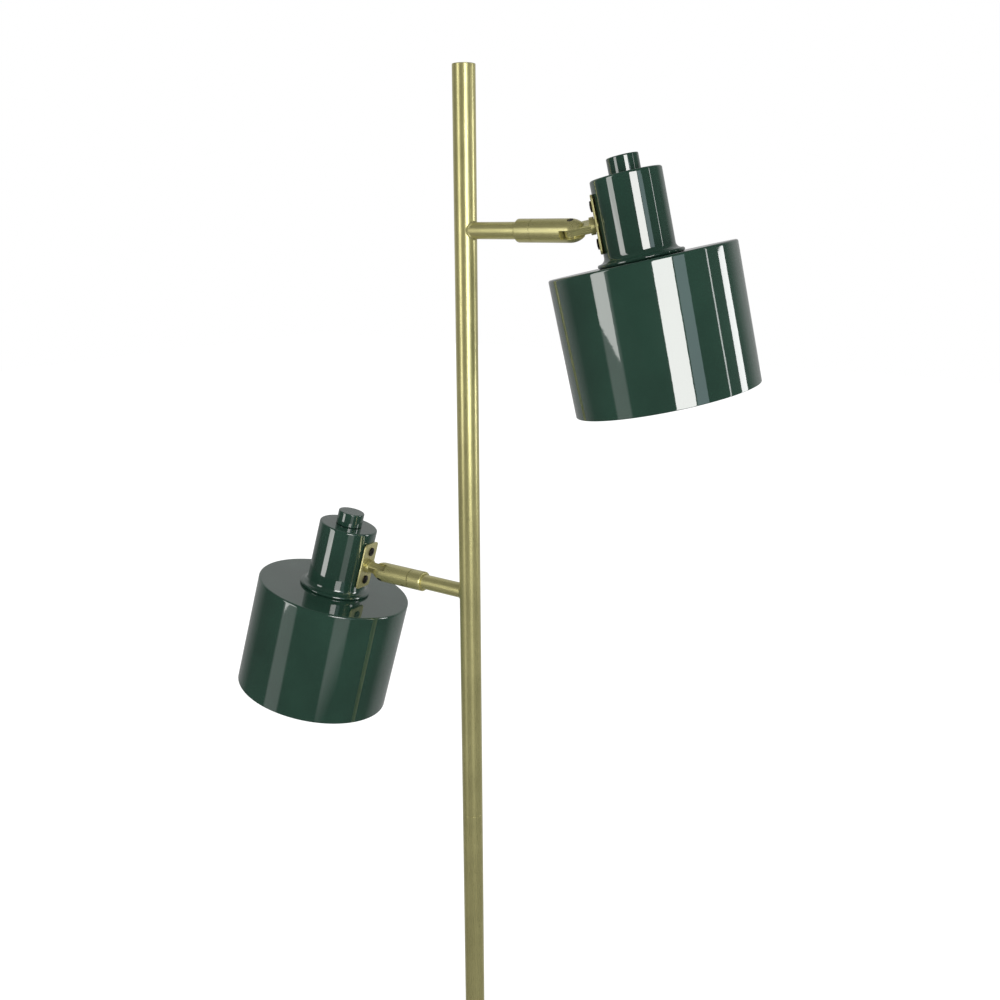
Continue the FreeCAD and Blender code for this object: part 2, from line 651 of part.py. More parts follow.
def lampholder_cap():
    """Domed upper half of the lampholder."""
    axis = HEAD_REACH
    body = rod(HOLDER_R, HOLDER_CAP_LENGTH, V(axis, 0, SEAM_Z))
    body = body.makeFillet(HOLDER_CAP_EDGE_R, cap_edges(body, Z, [SHELF_UNDERSIDE]))
    hollow = rod(HOLDER_R - HOLDER_T, HOLDER_CAP_LENGTH - HOLDER_CAP_TOP - NIPPLE_DOWN, V(axis, 0, SEAM_Z))
    hole = rod(NIPPLE_R + THREAD_GAP, HOLDER_CAP_LENGTH, V(axis, 0, SEAM_Z))
    return body.cut(hollow).cut(hole)


def lampholder_body():
    """Lower half: a shoulder that rests on the shade and a bore for the bulb's cap."""
    axis = HEAD_REACH
    body = rod(HOLDER_R, SEAM_Z - HOLDER_END, V(axis, 0, HOLDER_END))
    shoulder = rod(HOLDER_SHOULDER_R, HOLDER_SHOULDER_T, V(axis, 0, SHADE_TOP))
    bore = rod(HOLDER_BORE_R, BORE_TOP - HOLDER_END, V(axis, 0, HOLDER_END))
    return body.fuse(shoulder).cut(bore)


def shade():
    """Drum shade: flat top with the lampholder's hole, straight wall, thicker hem at the rim."""
    top = SHADE_TOP
    rim = top - SHADE_HEIGHT
    outer = (SHADE_R - SHADE_EDGE_R, top - SHADE_EDGE_R)
    inner_edge = SHADE_EDGE_R - SHADE_T
    hole_r = HOLDER_R + HOLDER_HOLE_GAP
    wall_r = SHADE_R - SHADE_T
    outline = [
        (hole_r, top), (outer[0], top),
        (corner(outer, SHADE_EDGE_R, 45), (SHADE_R, outer[1])),
        (SHADE_R, rim), (wall_r - HEM_T, rim), (wall_r - HEM_T, rim + HEM_HEIGHT),
        (wall_r, rim + HEM_HEIGHT + HEM_T), (wall_r, outer[1]),
        (corner(outer, inner_edge, 45), (outer[0], top - SHADE_T)),
        (hole_r, top - SHADE_T),
    ]
    return turned(outline, HEAD_REACH)


def shade_ring():
    """Threaded ring that clamps the shade to the lampholder, with gripping notches."""
    top = SHADE_TOP - SHADE_T
    axis = V(HEAD_REACH, 0, top - SHADE_RING_H)
    body = tube(SHADE_RING_R, HOLDER_R + RING_GAP, SHADE_RING_H, axis)
    for step in range(12):
        angle = math.radians(30 * step)
        reach = SHADE_RING_R + 1.0
        centre = axis + V(reach * math.cos(angle), reach * math.sin(angle), 0)
        body = body.cut(rod(2.0, SHADE_RING_H - 2.0, centre))
    return body


def bulb_cap():
    """Screw cap of the bulb with its centre contact."""
    axis = HEAD_REACH
    top = BORE_TOP - BULB_CONTACT_H
    body = rod(BULB_CAP_R, BULB_CAP_LENGTH, V(axis, 0, top - BULB_CAP_LENGTH))
    contact = rod(BULB_CONTACT_R, BULB_CONTACT_H, V(axis, 0, top))
    seat = rod(BULB_NECK_R + INSERT_GAP, BULB_SEAT, V(axis, 0, top - BULB_CAP_LENGTH))
    return body.fuse(contact).cut(seat)


def bulb_profile(radius, neck_r, top, centre_z):
    """Solid of a round bulb: a short neck that runs at a tangent into the ball."""
    drop = top - 4.0 - centre_z
    reach = math.hypot(neck_r, drop)
    angle = math.degrees(math.atan2(drop, neck_r) - math.acos(radius / reach))
    ball = (0.0, centre_z)
    outline = [
        (0.0, top), (neck_r, top), (neck_r, top - 4.0), corner(ball, radius, angle),
        (corner(ball, radius, (angle - 90) / 2), (0.0, centre_z - radius)),
    ]
    return turned(outline, HEAD_REACH)


def bulb_glass():
    """Opal glass of the bulb, a thin shell that opens into the cap."""
    top = BORE_TOP - BULB_CONTACT_H - BULB_CAP_LENGTH + BULB_SEAT
    centre_z = BORE_TOP - BULB_LENGTH + BULB_R
    outer = bulb_profile(BULB_R, BULB_NECK_R, top, centre_z)
    inner = bulb_profile(BULB_R - BULB_GLASS_T, BULB_NECK_R - BULB_GLASS_T, top, centre_z)
    return outer.cut(inner)


# ---------------------------------------------------------------- leads inside the pole
def lead(side, arm_z):
    """Lead from the block up the pole and into an arm: straight runs joined by quarter turns."""
    x0 = side * LEAD_OFFSET
    rise = LEAD_BEND_R
    bend = LEAD_ARM_BEND_R
    slope = math.sqrt(0.5)
    path = [
        Part.LineSegment(V(x0, BLOCK_Y - BLOCK_GAP / 2, LEAD_Z), V(x0, rise, LEAD_Z)),
        Part.Arc(V(x0, rise, LEAD_Z), V(x0, rise * (1 - slope), LEAD_Z + rise * (1 - slope)),
                 V(x0, 0, LEAD_Z + rise)),
        Part.LineSegment(V(x0, 0, LEAD_Z + rise), V(x0, 0, arm_z - bend)),
        Part.Arc(V(x0, 0, arm_z - bend), V(x0 + side * bend * (1 - slope), 0, arm_z - bend * (1 - slope)),
                 V(x0 + side * bend, 0, arm_z)),
        Part.LineSegment(V(x0 + side * bend, 0, arm_z), V(side * LEAD_END, 0, arm_z)),
    ]
    wire = Part.Wire([piece.toShape() for piece in path])
    section = Part.Wire([Part.makeCircle(LEAD_R, V(x0, BLOCK_Y - BLOCK_GAP / 2, LEAD_Z), Y)])
    return Part.Solid(wire.makePipeShell([section], True, False))


# ---------------------------------------------------------------- assembly
def arm_place(side, arm_z):
    """Frame of an arm: its +X runs out along the arm."""
    spin = 0 if side > 0 else 180
    return FreeCAD.Placement(V(0, 0, arm_z), FreeCAD.Rotation(Z, spin))


def head_places(side, arm_z, pose):
    """Frames of the sleeve, of the tongue and of the head, each about the knuckle pin."""
    roll, bend, swivel = pose
    pin = arm_place(side, arm_z).multiply(FreeCAD.Placement(V(PIN_REACH, 0, 0), FreeCAD.Rotation()))
    on_sleeve = pin.multiply(turn(X, roll))
    on_tongue = on_sleeve.multiply(turn(Z, bend))
    on_head = on_tongue.multiply(turn(X, swivel))
    return on_sleeve, on_tongue, on_head


def save_stand():
    """Everything that stays still."""
    save("foot_pad", foot_pad())
    save("foot_weight", foot_weight())
    save("foot_cover", foot_cover())
    save("cord_grommet", cord_grommet())
    save("foot_stud", foot_stud())
    save("foot_nut", foot_nut())
    save("terminal_block", terminal_block())
    save("pole_lower", pole_section(FOOT_HEIGHT, LOWER_LENGTH))
    save("pole_middle", pole_section(LOWER_TOP, MIDDLE_LENGTH))
    save("pole_upper", pole_upper())
    save("pole_sockets", pole_sockets())
    save("pole_spigots", pole_spigots())
    save("pole_top_plug", pole_top_plug())
    arms = (("upper", 1, UPPER_ARM_Z), ("lower", -1, LOWER_ARM_Z))
    for name, side, arm_z in arms:
        save(name + "_arm", placed(arm_tube(), arm_place(side, arm_z)))
    save("supply_leads", group([lead(side, arm_z) for _, side, arm_z in arms]))
    save("arm_spigots", group([placed(arm_spigot(), arm_place(side, arm_z)) for _, side, arm_z in arms]))
    save("arm_collars", group([placed(arm_collar(), arm_place(side, arm_z)) for _, side, arm_z in arms]))


def save_head(name, side, arm_z, pose):
    """The moving pieces of one head, at the pose of the photograph."""
    on_sleeve, on_tongue, on_head = head_places(side, arm_z, pose)
    pieces = (
        (on_sleeve, (sleeve, grub_screw, knuckle_pin)),
        (on_tongue, (tongue, swivel_nut)),
        (on_head, (mount_plate, plate_screws, neck, wall_spacer, holder_bracket, switch, switch_nut, knob,
                   knob_spindle, holder_nipple, lampholder_cap, lampholder_body, shade, shade_ring,
                   bulb_cap, bulb_glass)),
    )
    for place, makers in pieces:
        for maker in makers:
            save(name + "_" + maker.__name__, placed(maker(), place))


def main():
    os.makedirs("parts", exist_ok=True)
    save_stand()
    save_head("upper", 1, UPPER_ARM_Z, UPPER_POSE)
    save_head("lower", -1, LOWER_ARM_Z, LOWER_POSE)


main()
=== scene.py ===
"""Dresses the pole lamp's CAD model: lacquered heads, brass stand, bulbs, foot, and the studio round them."""

import json
import math

import bpy
from bpy.props import FloatProperty, FloatVectorProperty, PointerProperty
from mathutils import Matrix, Vector


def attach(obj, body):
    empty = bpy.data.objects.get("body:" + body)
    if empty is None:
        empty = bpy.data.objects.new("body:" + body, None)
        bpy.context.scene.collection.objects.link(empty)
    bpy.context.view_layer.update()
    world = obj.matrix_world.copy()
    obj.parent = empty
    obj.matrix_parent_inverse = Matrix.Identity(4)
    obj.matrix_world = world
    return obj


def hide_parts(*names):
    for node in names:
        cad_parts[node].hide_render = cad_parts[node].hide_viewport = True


bl_info = {
    "name": "Two-head pole lamp",
    "version": (1, 0, 0),
    "blender": (4, 5, 0),
    "location": "View3D > Sidebar > Pole lamp",
    "description": "Models and finishes the visible pieces of a two-head pole lamp round its CAD model",
    "category": "Object",
}

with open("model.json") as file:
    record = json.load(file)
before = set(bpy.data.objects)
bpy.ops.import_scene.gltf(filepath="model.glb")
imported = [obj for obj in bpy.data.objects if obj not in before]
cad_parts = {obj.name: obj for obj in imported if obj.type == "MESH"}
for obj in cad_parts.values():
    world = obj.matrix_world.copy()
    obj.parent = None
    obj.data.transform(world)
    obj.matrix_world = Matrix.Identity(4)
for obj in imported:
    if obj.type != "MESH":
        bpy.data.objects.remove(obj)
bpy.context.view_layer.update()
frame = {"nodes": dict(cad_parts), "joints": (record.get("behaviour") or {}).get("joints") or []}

SIDES = ("upper", "lower")
JOINTS = {joint["name"]: joint for joint in frame["joints"]}
SEAM = 1e-6
MM = 0.001
SHARP = math.radians(32)


# ------------------------------------------------------------ the lamp's own directions
def axes(origin, along, up):
    """Local frame whose X runs along one direction and whose Z stands the other way."""
    x = Vector(along).normalized()
    z = Vector(up)
    z = (z - x * z.dot(x)).normalized()
    made = Matrix((x, z.cross(x), z)).transposed().to_4x4()
    made.translation = origin
    return made


def joint_axis(side, joint):
    return Vector(JOINTS[f"{side}_{joint}"]["axis"])


def joint_place(side, joint):
    return Vector(JOINTS[f"{side}_{joint}"]["pos_m"])


def sleeve_frame(side):
    """X along the arm and Z along the knuckle pin, from the pin."""
    pin = joint_place(side, "knuckle_bend")
    return axes(pin, joint_axis(side, "sleeve_roll"), joint_axis(side, "knuckle_bend"))


def tongue_frame(side):
    """X from the pin to the head and Z along the pin."""
    pin = joint_place(side, "knuckle_bend")
    return axes(pin, -joint_axis(side, "head_swivel"), joint_axis(side, "knuckle_bend"))


def head_frame(side):
    """X from the pin to the head and Z up the head's own axis, from the pin."""
    pin = joint_place(side, "knuckle_bend")
    return axes(pin, -joint_axis(side, "head_swivel"), joint_axis(side, "knob_turn"))


def arm_frame(side):
    """X along the arm from the pole's axis."""
    along = joint_axis(side, "sleeve_roll")
    return axes((0, 0, joint_place(side, "sleeve_roll").z), along, (0, 0, 1))


def head_reach(side):
    """How far the head's axis stands from the pin."""
    from_pin = joint_place(side, "knob_turn") - joint_place(side, "knuckle_bend")
    return from_pin.dot(-joint_axis(side, "head_swivel"))


def head_axis(side):
    """The head's frame moved onto its own axis."""
    return head_frame(side) @ Matrix.Translation((head_reach(side), 0, 0))


def extent(node, place=None):
    """Lowest and highest corner of a node, measured in a local frame."""
    to_local = (place or Matrix.Identity(4)).inverted()
    points = [to_local @ vertex.co for vertex in frame["nodes"][node].data.vertices]
    low = Vector([round(min(point[i] for point in points), 5) for i in range(3)])
    high = Vector([round(max(point[i] for point in points), 5) for i in range(3)])
    return low, high


HEAD = head_axis("upper")
SHADE_LOW, SHADE_HIGH = extent("upper_shade", HEAD)
NECK_LOW, NECK_HIGH = extent("upper_neck", HEAD)
KNOB_LOW, KNOB_HIGH = extent("upper_knob", HEAD)
GLASS_LOW, GLASS_HIGH = extent("upper_bulb_glass", HEAD)
CAP_LOW, CAP_HIGH = extent("upper_bulb_cap", HEAD)
SCREW_LOW, SCREW_HIGH = extent("upper_plate_screws", head_frame("upper"))
PLATE_LOW = extent("upper_mount_plate", head_frame("upper"))[0]
COLLAR_HIGH = extent("arm_collars")[1]
POLE_HIGH = extent("pole_upper")[1]
COVER_LOW, COVER_HIGH = extent("foot_cover")
PAD_LOW, PAD_HIGH = extent("foot_pad")


def length(name, description, default):
    return FloatProperty(name=name, description=description, default=default, min=0.0, unit="LENGTH",
                         precision=5)


def colour(name, description, default):
    return FloatVectorProperty(name=name, description=description, default=default, size=3, min=0.0,
                               max=1.0, subtype="COLOR")


def amount(name, description, default):
    return FloatProperty(name=name, description=description, default=default, min=0.0)


def angle(name, description, degrees):
    return FloatProperty(name=name, description=description, default=math.radians(degrees), subtype="ANGLE")


# ------------------------------------------------------------ settings
class ShadeSizes(bpy.types.PropertyGroup):
    radius: length("Radius", "Outer radius of the drum", SHADE_HIGH.y)
    top: length("Top", "Drum's top below the knuckle pin", -SHADE_HIGH.z)
    height: length("Height", "Height of the drum", SHADE_HIGH.z - SHADE_LOW.z)
    wall: length("Wall", "Thickness of the spun sheet", 0.8 * MM)
    edge: length("Edge", "Radius of the drum's upper edge", 1.6 * MM)
    hem_height: length("Hem height", "Height of the turned-in hem", 3.0 * MM)
    hem: length("Hem", "Thickness that the hem adds inside", 0.8 * MM)
    hole: length("Hole", "Radius of the lampholder's hole", 14.15 * MM)


class NeckSizes(bpy.types.PropertyGroup):
    radius: length("Radius", "Outer radius of the neck", 26.5 * MM)
    foot: length("Foot", "Outer radius of the flared foot", NECK_HIGH.y)
    bead: length("Bead", "Radius of the rolled bead round the foot", 1.5 * MM)
    height: length("Height", "Height of the neck", NECK_HIGH.z - NECK_LOW.z)
    wall: length("Wall", "Thickness of the spun sheet", 1.2 * MM)
    edge: length("Edge", "Radius of the neck's upper edge", 1.5 * MM)
    hole: length("Hole", "Radius of the switch's hole", 5.1 * MM)
    swivel_hole: length("Swivel hole", "Radius of the hole for the tongue's threaded end", 5.2 * MM)
    screw_hole: length("Screw hole", "Radius of the holes for the plate screws", 2.15 * MM)
    drilled: length("Drilled wall", "Half height of the wall that takes the holes", 18 * MM)


class KnobSizes(bpy.types.PropertyGroup):
    radius: length("Radius", "Radius of the knob", KNOB_HIGH.y)
    edge: length("Edge", "Radius of the knob's upper edge", 0.8 * MM)
    recess: length("Recess", "Radius of the hollow below", 6.5 * MM)
    recess_depth: length("Recess depth", "Depth of the hollow below", 3.0 * MM)


class ScrewSizes(bpy.types.PropertyGroup):
    head: length("Head", "Radius of a plate screw's head", 4.0 * MM)
    head_height: length("Head height", "Height of a plate screw's head", PLATE_LOW.x - SCREW_LOW.x)
    spacing: length("Spacing", "Distance between the two screws", 27.2 * MM)
    recess: length("Recess", "Width of the cross recess's wings", 0.9 * MM)


class BulbSizes(bpy.types.PropertyGroup):
    radius: length("Radius", "Radius of the bulb", GLASS_HIGH.y)
    neck: length("Neck", "Radius of the glass where it enters the cap", 5.9 * MM)
    cap: length("Cap", "Radius of the screw cap", CAP_HIGH.y)
    contact: length("Contact", "Radius of the end contact", 3.5 * MM)
    thread: length("Thread", "Height between two ridges of the cap's thread", 2.8 * MM)


class StandSizes(bpy.types.PropertyGroup):
    pole: length("Pole", "Outer radius of the pole", POLE_HIGH.x)
    pole_wall: length("Pole wall", "Thickness of the pole's wall", 1.2 * MM)
    pole_edge: length("Pole edge", "Radius of the pole sections' ends", 0.3 * MM)
    collar: length("Collar", "Outer radius of the arm's collar", 8.8 * MM)
    collar_bore: length("Collar bore", "Inner radius of the arm's collar", 6.55 * MM)
    collar_start: length("Collar start", "Distance of the collar from the pole's axis", 50.0 * MM)
    collar_bevel: length("Collar bevel", "Bevel at the collar's back", 1.0 * MM)
    arm: length("Arm", "Outer radius of an arm", 6.5 * MM)
    bead: length("Bead", "Width of the brazed bead where an arm meets the pole", 0.9 * MM)
    lead_hole: length("Lead hole", "Radius of the holes for the leads behind the arms", 4.0 * MM)


class FootSizes(bpy.types.PropertyGroup):
    radius: length("Radius", "Radius of the foot's cover", COVER_HIGH.x)
    edge: length("Edge", "Radius of the cover's upper edge", 2.5 * MM)
    sheet: length("Sheet", "Thickness of the cover", 1.0 * MM)
    stud: length("Stud", "Radius of the hole for the stud", 5.05 * MM)
    inlet: length("Inlet", "Radius of the cord's hole", 5.0 * MM)
    inlet_height: length("Inlet height", "Height of the cord's hole", 8.0 * MM)
    fuzz: length("Felt", "Unevenness of the felt pad's edge", 0.12 * MM)


class Finishes(bpy.types.PropertyGroup):
    lacquer: colour("Lacquer", "Green lacquer of shades, necks and knobs", (0.0165, 0.0490, 0.0330))
    inside: colour("Shade inside", "Matt white inside the shades", (0.78, 0.78, 0.75))
    brass: colour("Brass", "Satin brass of the stand", (0.64, 0.60, 0.27))
    steel: colour("Plated steel", "Zinc-plated nuts and studs", (0.55, 0.56, 0.57))
    dark_steel: colour("Dark steel", "Blackened screws and pins", (0.05, 0.047, 0.043))
    cap: colour("Bulb cap", "Nickel cap of the bulb", (0.62, 0.61, 0.58))
    glass: colour("Glass", "Opal glass of the bulb", (0.82, 0.82, 0.80))
    plastic: colour("Plastic", "Moulded lampholder and switch", (0.045, 0.045, 0.045))
    rubber: colour("Rubber", "Grommet of the cord's hole", (0.018, 0.018, 0.019))
    felt: colour("Felt", "Pad under the foot", (0.035, 0.040, 0.037))
    iron: colour("Cast iron", "Weight in the foot", (0.11, 0.11, 0.115))
    lead: colour("Lead", "Insulation of the leads", (0.52, 0.50, 0.46))


class StudioSettings(bpy.types.PropertyGroup):
    camera: FloatVectorProperty(name="Camera", description="Camera's place", size=3, unit="LENGTH",
                                default=(0.5060, -0.6806, 1.3408), subtype="TRANSLATION")
    azimuth: angle("Azimuth", "Direction round the lamp that the camera looks from", 34.87)
    pitch: angle("Pitch", "How far the camera looks down", 14.85)
    roll: angle("Roll", "How far the camera leans", -0.25)
    lens: FloatProperty(name="Lens", description="Focal length", default=37.64, unit="CAMERA")
    floor: length("Floor", "Half width of the floor", 9.0)
    floor_white: amount("Floor white", "The floor's own white, as the camera sees it", 0.93)
    floor_soft: amount("Floor soft", "How much of the light the floor adds to its white", 0.25)
    # Floor dim and floor light set the floor's painted reflection: painted shade on the camera's side and a
    # painted glow before the panels.
    floor_dim: amount("Floor dim", "Level of the floor that the lamp mirrors on the camera's side", 0.05)
    level: amount("Room light", "Even light of the room", 0.75)
    key: amount("Main light", "Brightness of the panel right of the camera", 5.7)
    side: amount("Side light", "Brightness of the panel left of the camera", 2.3)
    strip: amount("Strip light", "Brightness of the narrow panels at the right", 5.0)
    painted_floor_glow: amount("Floor light", "Brightness of the panels' glow that the lamp mirrors in the floor", 0.45)


# ------------------------------------------------------------ modelling by hand
def deselect():
    if bpy.context.mode != "OBJECT":
        bpy.ops.object.mode_set(mode="OBJECT")
    bpy.ops.object.select_all(action="DESELECT")


def pick(piece):
    """Makes one object the selected and active one."""
    deselect()
    piece.select_set(True)
    bpy.context.view_layer.objects.active = piece


def arc(radius, height, size, start, end, steps=6):
    """Points of a rounded edge about (radius, height), from one angle to another in degrees."""
    turns = [math.radians(start + (end - start) * i / steps) for i in range(steps + 1)]
    return [(radius + size * math.cos(turn), height + size * math.sin(turn)) for turn in turns]


def eased(outline, hold=0.4 * MM):
    """Adds a point near each end of a long run, so that shading stays true up to the rounded edges."""
    made = [outline[0]]
    for start, end in zip(outline, outline[1:]):
        a, b = Vector(start), Vector(end)
        if (b - a).length > 5 * hold:
            step = (b - a).normalized() * hold
            made += [tuple(a + step), tuple(b - step)]
        made.append(end)
    return made


def turned(outline, segments=128):
    """Spins an outline of (radius, height) points round Z. It starts and ends on the axis, or closes."""
    outline = eased(outline)
    deselect()
    bpy.ops.mesh.primitive_plane_add(size=MM, location=(0, 0, 0))
    piece = bpy.context.object
    bpy.ops.object.mode_set(mode="EDIT")
    bpy.ops.mesh.select_all(action="SELECT")
    bpy.ops.mesh.merge(type="CENTER")
    bpy.ops.transform.translate(value=(outline[0][0], 0, outline[0][1]))
    for (r0, z0), (r1, z1) in zip(outline, outline[1:]):
        bpy.ops.mesh.extrude_region_move(TRANSFORM_OT_translate={"value": (r1 - r0, 0, z1 - z0)})
    bpy.ops.mesh.select_all(action="SELECT")
    bpy.ops.mesh.spin(steps=segments, angle=2 * math.pi, center=(0, 0, 0), axis=(0, 0, 1))
    bpy.ops.mesh.select_all(action="SELECT")
    bpy.ops.mesh.remove_doubles(threshold=SEAM)
    bpy.ops.mesh.normals_make_consistent(inside=False)
    bpy.ops.object.mode_set(mode="OBJECT")
    return piece


def apply_place(piece, place):
    """Puts a piece where it belongs and keeps that place in its mesh."""
    pick(piece)
    piece.matrix_world = place
    bpy.ops.object.transform_apply(location=True, rotation=True, scale=True)


def twin(piece):
    """A copy with a mesh of its own."""
    pick(piece)
    bpy.ops.object.duplicate()
    return bpy.context.object


def joined(pieces):
    """Makes several pieces one object, as their first one."""
    deselect()
    for piece in pieces:
        piece.select_set(True)
    bpy.context.view_layer.objects.active = pieces[0]
    bpy.ops.object.join()
    return bpy.context.object


def carve(piece, cutter):
    """Cuts one mesh out of another and takes the cutter away."""
    pick(piece)
    bpy.ops.object.modifier_add(type="BOOLEAN")
    cut = piece.modifiers[-1]
    cut.operation, cut.solver, cut.object = "DIFFERENCE", "EXACT", cutter
    bpy.ops.object.modifier_apply(modifier=cut.name)
    pick(cutter)
    bpy.ops.object.delete()


def drill(radius, low, high, place, segments=48):
    """Round cutter along Z of a place, its ends slightly domed."""
    dome = 0.1 * radius
    cutter = turned([(0, low - dome), (radius, low), (radius, high), (0, high + dome)], segments)
    apply_place(cutter, place)
    return cutter


def keep(piece, name, body, slot, nodes, *materials):
    """Names a finished piece, ties it to its body, hides the CAD nodes that it replaces, and gives it its
    finish.
    """
    piece.name = piece.data.name = name
    pick(piece)
    bpy.ops.object.shade_smooth_by_angle(angle=SHARP)
    for material in materials:
        piece.data.materials.append(material)
    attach(piece, body)
    if nodes:
        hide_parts(*nodes)
    return piece


def both_heads(pattern, name, node, body, slot, *materials):
    """Copies a piece, modelled round a head's own axis, to both heads and takes the pattern away."""
    for side in SIDES:
        piece = twin(pattern)
        apply_place(piece, head_axis(side))
        keep(piece, f"{side}_{name}", f"{side}_{body}", slot, [f"{side}_{node}"], *materials)
    pick(pattern)
    bpy.ops.object.delete()


def paint_faces(piece, index, rule):
    """Gives the faces that a rule picks, by their centre and normal, to another material."""
    for face in piece.data.polygons:
        if rule(face.center, face.normal):
            face.material_index = index


# ------------------------------------------------------------ finishes
class Nodes:
    """Short ways to add nodes to a node tree and to join them."""

    def __init__(self, tree):
        self.tree = tree

    def feed(self, socket, value):
        """Links a socket to another one, or sets its value."""
        if isinstance(value, bpy.types.NodeSocket):
            self.tree.links.new(value, socket)
        else:
            socket.default_value = value

    def add(self, kind, settings=(), *values, **sockets):
        """Adds a node, with its inputs given by place or by name."""
        made = self.tree.nodes.new("ShaderNode" + kind)
        for key, value in dict(settings).items():
            setattr(made, key, value)
        for index, value in enumerate(values):
            self.feed(made.inputs[index], value)
        for key, value in sockets.items():
            self.feed(made.inputs[key.replace("_", " ")], value)
        return made

    def math(self, operation, first, second):
        return self.add("Math", {"operation": operation}, first, second).outputs[0]

    def vector(self, operation, *values):
        return self.add("VectorMath", {"operation": operation}, *values)

    def noise(self, vector, scale, detail=2.0, roughness=0.5):
        made = self.add("TexNoise", Vector=vector, Scale=scale, Detail=detail, Roughness=roughness)
        return made.outputs["Fac"]

    def range(self, value, low, high, start=0.3, end=0.7):
        made = self.add("MapRange", Value=value, From_Min=start, From_Max=end, To_Min=low, To_Max=high)
        return made.outputs[0]

    def ramp(self, value, stops):
        """Grey levels between stops of (position, level)."""
        made = self.add("ValToRGB", Fac=value)
        points = made.color_ramp.elements
        while len(points) < len(stops):
            points.new(0.5)
        for point, (position, grey) in zip(points, stops):
            point.position, point.color = position, (grey, grey, grey, 1)
        return made.outputs["Color"]

    def by_ray(self, even, mirrored, seen, output):
        """One shader gives light, one is mirrored, and one is seen by the camera and through glass."""
        path = self.add("LightPath").outputs
        lit = self.add("MixShader", (), path["Is Glossy Ray"], even.outputs[0], mirrored.outputs[0])
        looked_at = self.math("MAXIMUM", path["Is Camera Ray"], path["Is Transmission Ray"])
        last = self.add("MixShader", (), looked_at, lit.outputs[0], seen.outputs[0])
        self.feed(self.tree.nodes[output].inputs["Surface"], last.outputs[0])


class Recipe(Nodes):
    """A material's node tree with its shader."""

    def __init__(self, name, **sockets):
        self.material = bpy.data.materials.new(name)
        self.material.use_nodes = True
        super().__init__(self.material.node_tree)
        self.shader = self.tree.nodes["Principled BSDF"]
        for key, value in sockets.items():
            self.shader.inputs[key.replace("_", " ")].default_value = value

    def place(self, local=None, scale=(1, 1, 1)):
        """Object coordinates seen from a local frame, then stretched."""
        vector = self.add("TexCoord").outputs["Object"]
        if local is not None:
            seen = self.add("Mapping", {"vector_type": "TEXTURE"}, Vector=vector, Location=local.translation,
                            Rotation=local.to_euler())
            vector = seen.outputs["Vector"]
        return self.add("Mapping", Vector=vector, Scale=scale).outputs["Vector"]

    def to(self, socket, value):
        self.feed(self.shader.inputs[socket], value)

    def cloud(self, spot, base, darker, lighter, scale, detail=3.0, roughness=0.5):
        """Base colour that wanders between a darker and a lighter step of one colour."""
        mix = self.add("Mix", {"data_type": "RGBA"})
        self.feed(mix.inputs[0], self.range(self.noise(spot, scale, detail, roughness), 0.0, 1.0))
        for index, factor in ((6, darker), (7, lighter)):
            self.feed(mix.inputs[index], (*[min(1.0, channel * factor) for channel in base], 1.0))
        self.to("Base Color", mix.outputs[2])

    def worn(self, spot, low, high, scale, detail=3.0):
        """Roughness that wanders between two levels."""
        self.to("Roughness", self.range(self.noise(spot, scale, detail), low, high))

    def bump(self, height, strength, distance, **under):
        made = self.add("Bump", Height=height, Strength=strength, Distance=distance, **under)
        return made.outputs["Normal"]


def lacquer(name, base):
    """Thick glossy lacquer: a calm colour, a faint orange peel and a clear hard coat."""
    made = Recipe(name, Coat_Weight=1.0, Coat_Roughness=0.04, Coat_IOR=2.2, Specular_IOR_Level=0.04)
    spot = made.place()
    made.cloud(spot, base, 0.88, 1.14, 22.0)
    made.worn(spot, 0.36, 0.48, 60.0)
    peel = made.noise(spot, 240.0, 1.5)
    waves = made.bump(made.noise(spot, 38.0, 1.0), 0.25, 0.10 * MM)
    made.to("Normal", made.bump(peel, 0.10, 0.05 * MM))
    made.to("Coat Normal", made.bump(peel, 0.16, 0.05 * MM, Normal=waves))
    return made.material


def satin_brass(name, base, local, stretch=(1, 1, 0.02)):
    """Lacquered satin brass with fine lines along the piece."""
    made = Recipe(name, Metallic=0.72, Coat_Weight=0.5, Coat_Roughness=0.12, Coat_IOR=1.5)
    made.cloud(made.place(local), base, 0.90, 1.08, 30.0)
    grain = made.noise(made.place(local, stretch), 2600.0)
    made.to("Roughness", made.range(grain, 0.25, 0.35))
    made.to("Normal", made.bump(grain, 0.05, 0.02 * MM))
    return made.material


def turned_brass(name, base):
    """Satin brass with the fine circular lines of a spun disc."""
    made = Recipe(name, Metallic=1.0, Coat_Weight=0.35, Coat_Roughness=0.12, Coat_IOR=1.5)
    spot = made.place()
    made.cloud(spot, base, 0.90, 1.08, 14.0)
    flat = made.vector("MULTIPLY", spot, (1.0, 1.0, 0.0)).outputs[0]
    away = made.vector("LENGTH", flat).outputs["Value"]
    grain = made.noise(made.add("CombineXYZ", X=away).outputs[0], 2200.0)
    made.to("Roughness", made.range(grain, 0.24, 0.36))
    made.to("Normal", made.bump(grain, 0.08, 0.02 * MM))
    return made.material


def plated(name, base, roughness):
    """Plated or blackened steel with slight cloudiness."""
    made = Recipe(name, Metallic=1.0)
    spot = made.place()
    made.cloud(spot, base, 0.86, 1.1, 180.0, 4.0)
    made.worn(spot, roughness - 0.07, roughness + 0.08, 420.0)
    made.to("Normal", made.bump(made.noise(spot, 2400.0), 0.08, 0.02 * MM))
    return made.material


def moulded(name, base, roughness, grain):
    """Moulded plastic, rubber or insulation with a fine skin."""
    made = Recipe(name, Specular_IOR_Level=0.45)
    spot = made.place()
    made.cloud(spot, base, 0.9, 1.12, 90.0)
    made.worn(spot, roughness - 0.06, roughness + 0.07, 300.0)
    made.to("Normal", made.bump(made.noise(spot, grain, 3.0), 0.18, 0.05 * MM))
    return made.material


